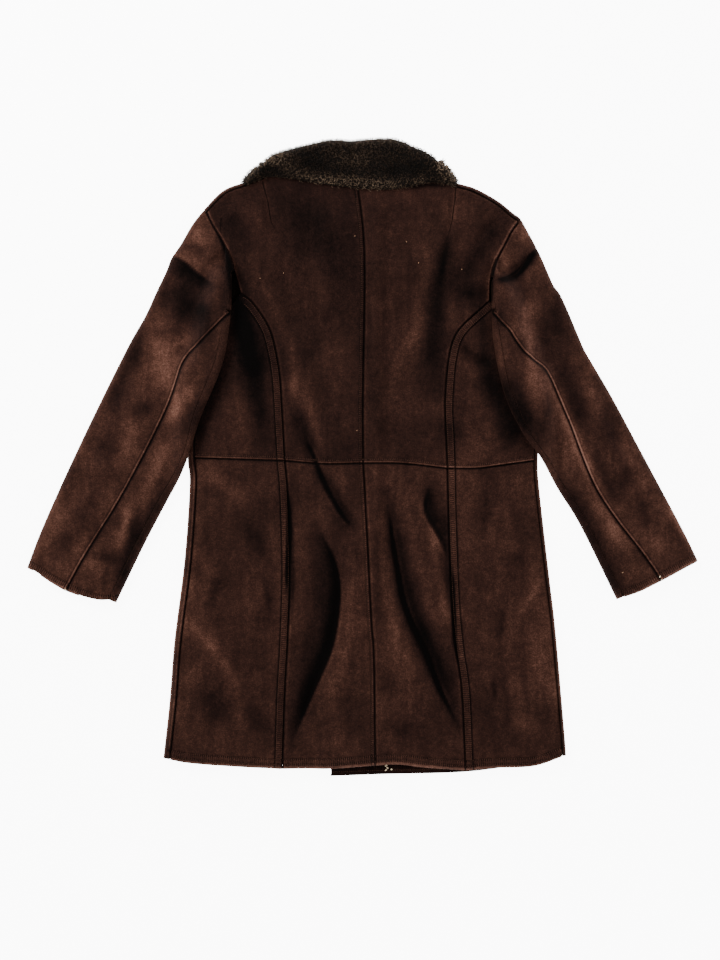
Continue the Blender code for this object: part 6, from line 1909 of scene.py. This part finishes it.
def spindle(name, length, thick, around=5):
    # a small rounded rod along X
    rings = ((-0.5, 0.35), (-0.32, 1.0), (0.32, 1.0), (0.5, 0.35))
    verts = [(length * place, thick * width * math.cos(2 * math.pi * k / around),
              thick * width * math.sin(2 * math.pi * k / around))
             for place, width in rings for k in range(around)]
    return newPiece(name, verts, tubeFaces(len(rings), around), smooth=True)


surfaces = {}


def surfaceAt(node, side, x, y, reach=0.2, down=-1):
    # the height of a panel's skin under a point seen from above
    if (node, side) not in surfaces:
        mesh = panels[node, side].data
        surfaces[node, side] = BVHTree.FromPolygons([vertex.co for vertex in mesh.vertices],
                                                    [face.vertices for face in mesh.polygons])
    place = surfaces[node, side].ray_cast(Vector((x, y, reach)), Vector((0, 0, down)))[0]
    return None if place is None else place.z


def undersideAt(node, side, x, y):
    return surfaceAt(node, side, x, y, -0.1, 1)


def besideLine(line, away, start, end, toward):
    # points beside a seam, on the side that toward points to
    shares = np.linspace(start, end, max(8, round(line.length * (end - start) / stitchPath["step"])))
    run = line.direction(shares)
    across = np.stack((-run[:, 1], run[:, 0]), axis=1)
    turn = np.sign((across @ np.array(toward, float)).mean())
    return line.at(shares) + across * turn * away


def stitchRows(side):
    # panel, seam, row of stitching, first and last share, the way the row lies
    out, up = (-1.0, 0.0) if side == "left" else (1.0, 0.0), (0, 1)
    rows = [("side_back", "princessUpper", "princess", 0.03, 0.995, out),
            ("side_back", "princessUpper", "princessFar", 0.06, 0.99, out),
            ("skirt_side", "princessLower", "princess", 0.005, 0.965, out),
            ("skirt_side", "princessLower", "princessFar", 0.005, 0.965, out),
            ("back", "waistInner", "waist", 0.01, 0.99, up),
            ("side_back", "waistOuter", "waist", 0.04, 0.94, up),
            ("skirt_back", "hemInner", "hem", 0.01, 0.99, up),
            ("skirt_back", "hemInner", "edge", 0.01, 0.99, up),
            ("skirt_side", "hemOuter", "hem", 0.01, 0.97, up),
            ("skirt_side", "hemOuter", "edge", 0.01, 0.97, up),
            ("sleeve_top", "cuff", "cuff", 0.02, 0.98, up),
            ("sleeve_under", "cuff", "cuff", 0.02, 0.98, up),
            ("front", "frontHem", "edge", 0.01, 0.99, up)]
    if side == "left":
        rows += [("back", "centreUpper", "centre", 0.06, 0.99, out),
                 ("skirt_back", "centreLower", "centre", 0.01, 0.96, out)]
    return rows


stitchTree = makeStitchTree()
stitch = spindle("stitch", stitchSize["length"], stitchSize["thick"])
threadMaterial = plainMaterial("brownThread", (0.052, 0.0235, 0.0155), 0.7)
for side in ("left", "right"):
    verts, edges = [], []
    for node, name, row, start, end, toward in stitchRows(side):
        last = None
        for x, y in besideLine(lineNamed(name, side), sewing[row], start, end, toward):
            z = surfaceAt(node, side, x, y)
            if z is None or z < stitchPath["lowest"]:
                last = None
                continue
            if last is not None and abs(z - verts[last][2]) < stitchPath["jump"]:
                edges.append((last, len(verts)))
            last = len(verts)
            verts.append((x, y, z - stitchSize["sunk"]))
    paths = newPiece("stitchPaths", verts, [], edges=edges)
    values = dict(stitchValues, Stitch=stitch, Seed=3, Material=threadMaterial)
    piece = grow(paths, stitchTree, values, f"stitches.{side}")
    bpy.data.objects.remove(paths, do_unlink=True)
    dress(piece)
    print("coat: stitches", side, len(piece.data.polygons), "faces")
bpy.data.objects.remove(stitch, do_unlink=True)

# lint on the nap and pale bits of skin at the hems: place, length and width in millimetres, turn, panel
lint = (
    (-10.9, 318, 2, 0.4, 0.4, "back", "left"),
    (63.1, 310.7, 1.8, 0.5, 1.9, "back", "right"),
    (80.5, 280.3, 2.2, 0.4, 0.9, "back", "right"),
    (142.8, 271.6, 1.6, 0.5, 2.4, "back", "right"),
    (-113.8, 265.8, 2, 0.4, 1.2, "back", "left"),
    (-147.2, 258.5, 1.8, 0.4, 2.9, "back", "left"),
    (-8, 39.6, 1.6, 0.5, 0.2, "back", "left"),
    (374.8, -164.9, 2.4, 0.5, 0.7, "sleeve_under", "right"),
)
paleBits = (
    (-428.5, -189.5, 3.2, 0.9, 1.9, "sleeve_top", "left"),
    (428.5, -170.7, 3, 0.9, 1.1, "sleeve_top", "right"),
    (431.4, -175.7, 2.6, 0.8, 2.2, "sleeve_top", "right"),
    (34.1, -444.7, 4, 1.1, 0.5, "front", "right"),
    (36, -447.8, 3.6, 1, 2.5, "front", "right"),
    (33.8, -451, 3.8, 1, 0.6, "front", "right"),
    (42, -450, 3, 1.2, 0.1, "front", "right"),
)


def scatter(name, rows, colour):
    # small spindles laid on the skin, as one joined mesh
    verts, faces = [], []
    for *sizes, turn, node, side in rows:
        x, y, length, thick = (metres(value) for value in sizes)
        z = surfaceAt(node, side, x, y)
        if z is None:
            print("coat: nothing under", name, x, y)
            continue
        rod = spindle("bit", length, thick)
        spin = Matrix.Rotation(turn, 3, "Z")
        first = len(verts)
        verts += [spin @ vertex.co + Vector((x, y, z + thick * 0.4)) for vertex in rod.data.vertices]
        faces += [[first + k for k in face.vertices] for face in rod.data.polygons]
        bpy.data.objects.remove(rod, do_unlink=True)
    dress(newPiece(name, verts, faces, plainMaterial(name, colour, 0.8), smooth=True))


def closedLine(name, node, side, line, size):
    # a dart's closed seam or a shut fold: a near-black slip of painted shade that narrows towards its point
    shares = np.linspace(0, 1, 32)
    verts, around = [], 6
    for (x, y), (alongX, alongY), share in zip(line.at(shares), line.direction(shares), shares):
        z = surfaceAt(node, side, x, y)
        if z is None:
            continue
        for k in range(around):
            wide = size * min(1.0, 0.15 + 2.5 * (1 - share)) * math.cos(math.tau * k / around)
            verts.append((x - alongY * wide, y + alongX * wide,
                          z + dartSize["deep"] * math.sin(math.tau * k / around)))
    dress(newPiece(name, verts, tubeFaces(len(verts) // around, around), dartMaterial))


headSize = {"start": 0.02, "past": 0.16, "rings": 60, "inset": 0.003, "thick": 0.0015,
            "sunk": 0.0035, "foot": 0.009}
armholeSize = {"start": 0.03, "end": 0.985, "rings": 60, "half": 0.0055, "thick": 0.0045, "sunk": 0.0006}
# the armhole's seam allowances are coloured darker than the suede, as painted shade
allowanceShadeMaterial = plainMaterial("allowance", (0.012, 0.0055, 0.0040), 0.9)
dartMaterial = plainMaterial("dartShade", (0.0035, 0.0015, 0.0012), 0.9)


def armholeSeam(side):
    # the seam allowances under the arm, which close the armhole between the front and the sleeve, coloured
    # dark as painted shade
    line = seams[side]["armholeFront"]
    shares = np.linspace(armholeSize["start"], armholeSize["end"], armholeSize["rings"])
    verts = []
    for (x, y), (alongX, alongY) in zip(line.at(shares), line.direction(shares)):
        reach = armholeSize["half"] if (alongY < 0) == (side == "left") else -armholeSize["half"]
        ends = []
        for node, turn in (("front", 1), ("sleeve", -1)):
            farX, farY = x - alongY * reach * turn, y + alongX * reach * turn
            nodes = ("front",) if node == "front" else ("sleeve_top", "sleeve_under")
            found = [undersideAt(name, side, farX, farY) for name in nodes]
            low = min((value for value in found if value is not None), default=None)
            ends.append((farX, farY, low))
        if any(low is None for _, _, low in ends):
            continue
        (ax, ay, aLow), (bx, by, bLow) = ends
        sunk, top = armholeSize["sunk"], armholeSize["sunk"] + armholeSize["thick"]
        verts += [(ax, ay, aLow + sunk), (ax, ay, aLow + top), (bx, by, bLow + top), (bx, by, bLow + sunk)]
    print("coat: armhole seam", side, len(verts) // 4, "rings")
    dress(newPiece(f"armholeSeam.{side}", verts, tubeFaces(len(verts) // 4, 4), allowanceShadeMaterial))


def headSeam(side):
    # the seam allowance inside the sleeve's head, hidden from above, where the head stands off the back
    line = seams[side]["armhole"]
    verts = []
    shares = np.linspace(headSize["start"], capShare(side) + headSize["past"], headSize["rings"])
    for (x, y), (alongX, alongY) in zip(line.at(shares), line.direction(shares)):
        inset, thick = headSize["inset"], headSize["thick"]
        places = [(x - alongY * reach, y + alongX * reach) for reach in (inset, inset + thick)]
        tops = [surfaceAt("sleeve_top", side, *place) for place in places]
        if any(top is None for top in tops):
            continue
        (nearX, nearY), (farX, farY) = places
        nearTop, farTop = (top - headSize["sunk"] for top in tops)
        verts += [(nearX, nearY, headSize["foot"]), (nearX, nearY, nearTop),
                  (farX, farY, farTop), (farX, farY, headSize["foot"])]
    print("coat: head seam", side, len(verts) // 4, "rings")
    material = plainMaterial("headAllowance", (0.030, 0.0145, 0.0110), 0.9)
    dress(newPiece(f"headSeam.{side}", verts, tubeFaces(len(verts) // 4, 4), material))


for side in ("left", "right"):
    armholeSeam(side)
headSeam("right")
shoulderFold = (-203, 345, -204.2, 333, -203.4, 322)
sleeveFold = (253, 299.8, 248, 298.6, 241.6, 295.4, 235.3, 285.9, 229, 275.8, 222.6, 267, 214.7, 262.2, 202,
              257.4, 191, 254.5)
foldWidths = {"sleeve": 0.00095, "shoulder": 0.00085}
for side in ("left", "right"):
    closedLine(f"dart.{side}", "back", side, dartLines[side], dartSize["wide"])
closedLine("sleeveFold.right", "sleeve_top", "right", lineOf(sleeveFold), foldWidths["sleeve"])
closedLine("shoulderFold.left", "back", "left", lineOf(shoulderFold), foldWidths["shoulder"])
scatter("lint", lint, (0.30, 0.17, 0.10))
scatter("skinEdges", paleBits, (0.62, 0.50, 0.34))

# light and camera


def areaLight(name, place, target, size, power, colour):
    light = bpy.data.lights.new(name, "AREA")
    light.shape = "SQUARE"
    light.size = size
    light.energy = power
    light.color = colour
    lamp = linked(name, light)
    lamp.location = place
    lamp.rotation_euler = (Vector(place) - Vector(target)).to_track_quat("Z", "Y").to_euler()


# place, target, size in metres, power in watts and colour of each lamp, and the even light of the room
room = {"colour": (1.0, 1.0, 1.0, 1), "strength": 0.78}
lights = (
    ("keyLight", (-1.5, 1.6, 1.7), (0, 0, 0), 1.0, 92, (1.0, 0.98, 0.95)),
    ("fillLight", (1.8, 0.4, 2.0), (0, 0, 0), 1.6, 30, (0.96, 0.98, 1.0)),
    ("topLight", (0, -0.6, 2.9), (0, 0, 0), 1.6, 23, (1.0, 1.0, 1.0)),
)
for row in lights:
    areaLight(*row)
world = bpy.data.worlds.new("paleRoom")
bpy.context.scene.world = world
world.use_nodes = True
sky = world.node_tree.nodes["Background"].inputs
sky["Color"].default_value = room["colour"]
sky["Strength"].default_value = room["strength"]

# straight above, far enough that 1.382 m of the coat's surface fills the photograph's height
view = {"place": (-0.0036, -0.0315, 2.62), "sensor": 24, "distance": 2.6, "tall": 1.382}
camera = linked("camera", bpy.data.cameras.new("camera"))
camera.location = view["place"]
camera.data.sensor_fit = "VERTICAL"
camera.data.sensor_height = view["sensor"]
camera.data.lens = view["sensor"] * view["distance"] / view["tall"]
bpy.context.scene.camera = camera
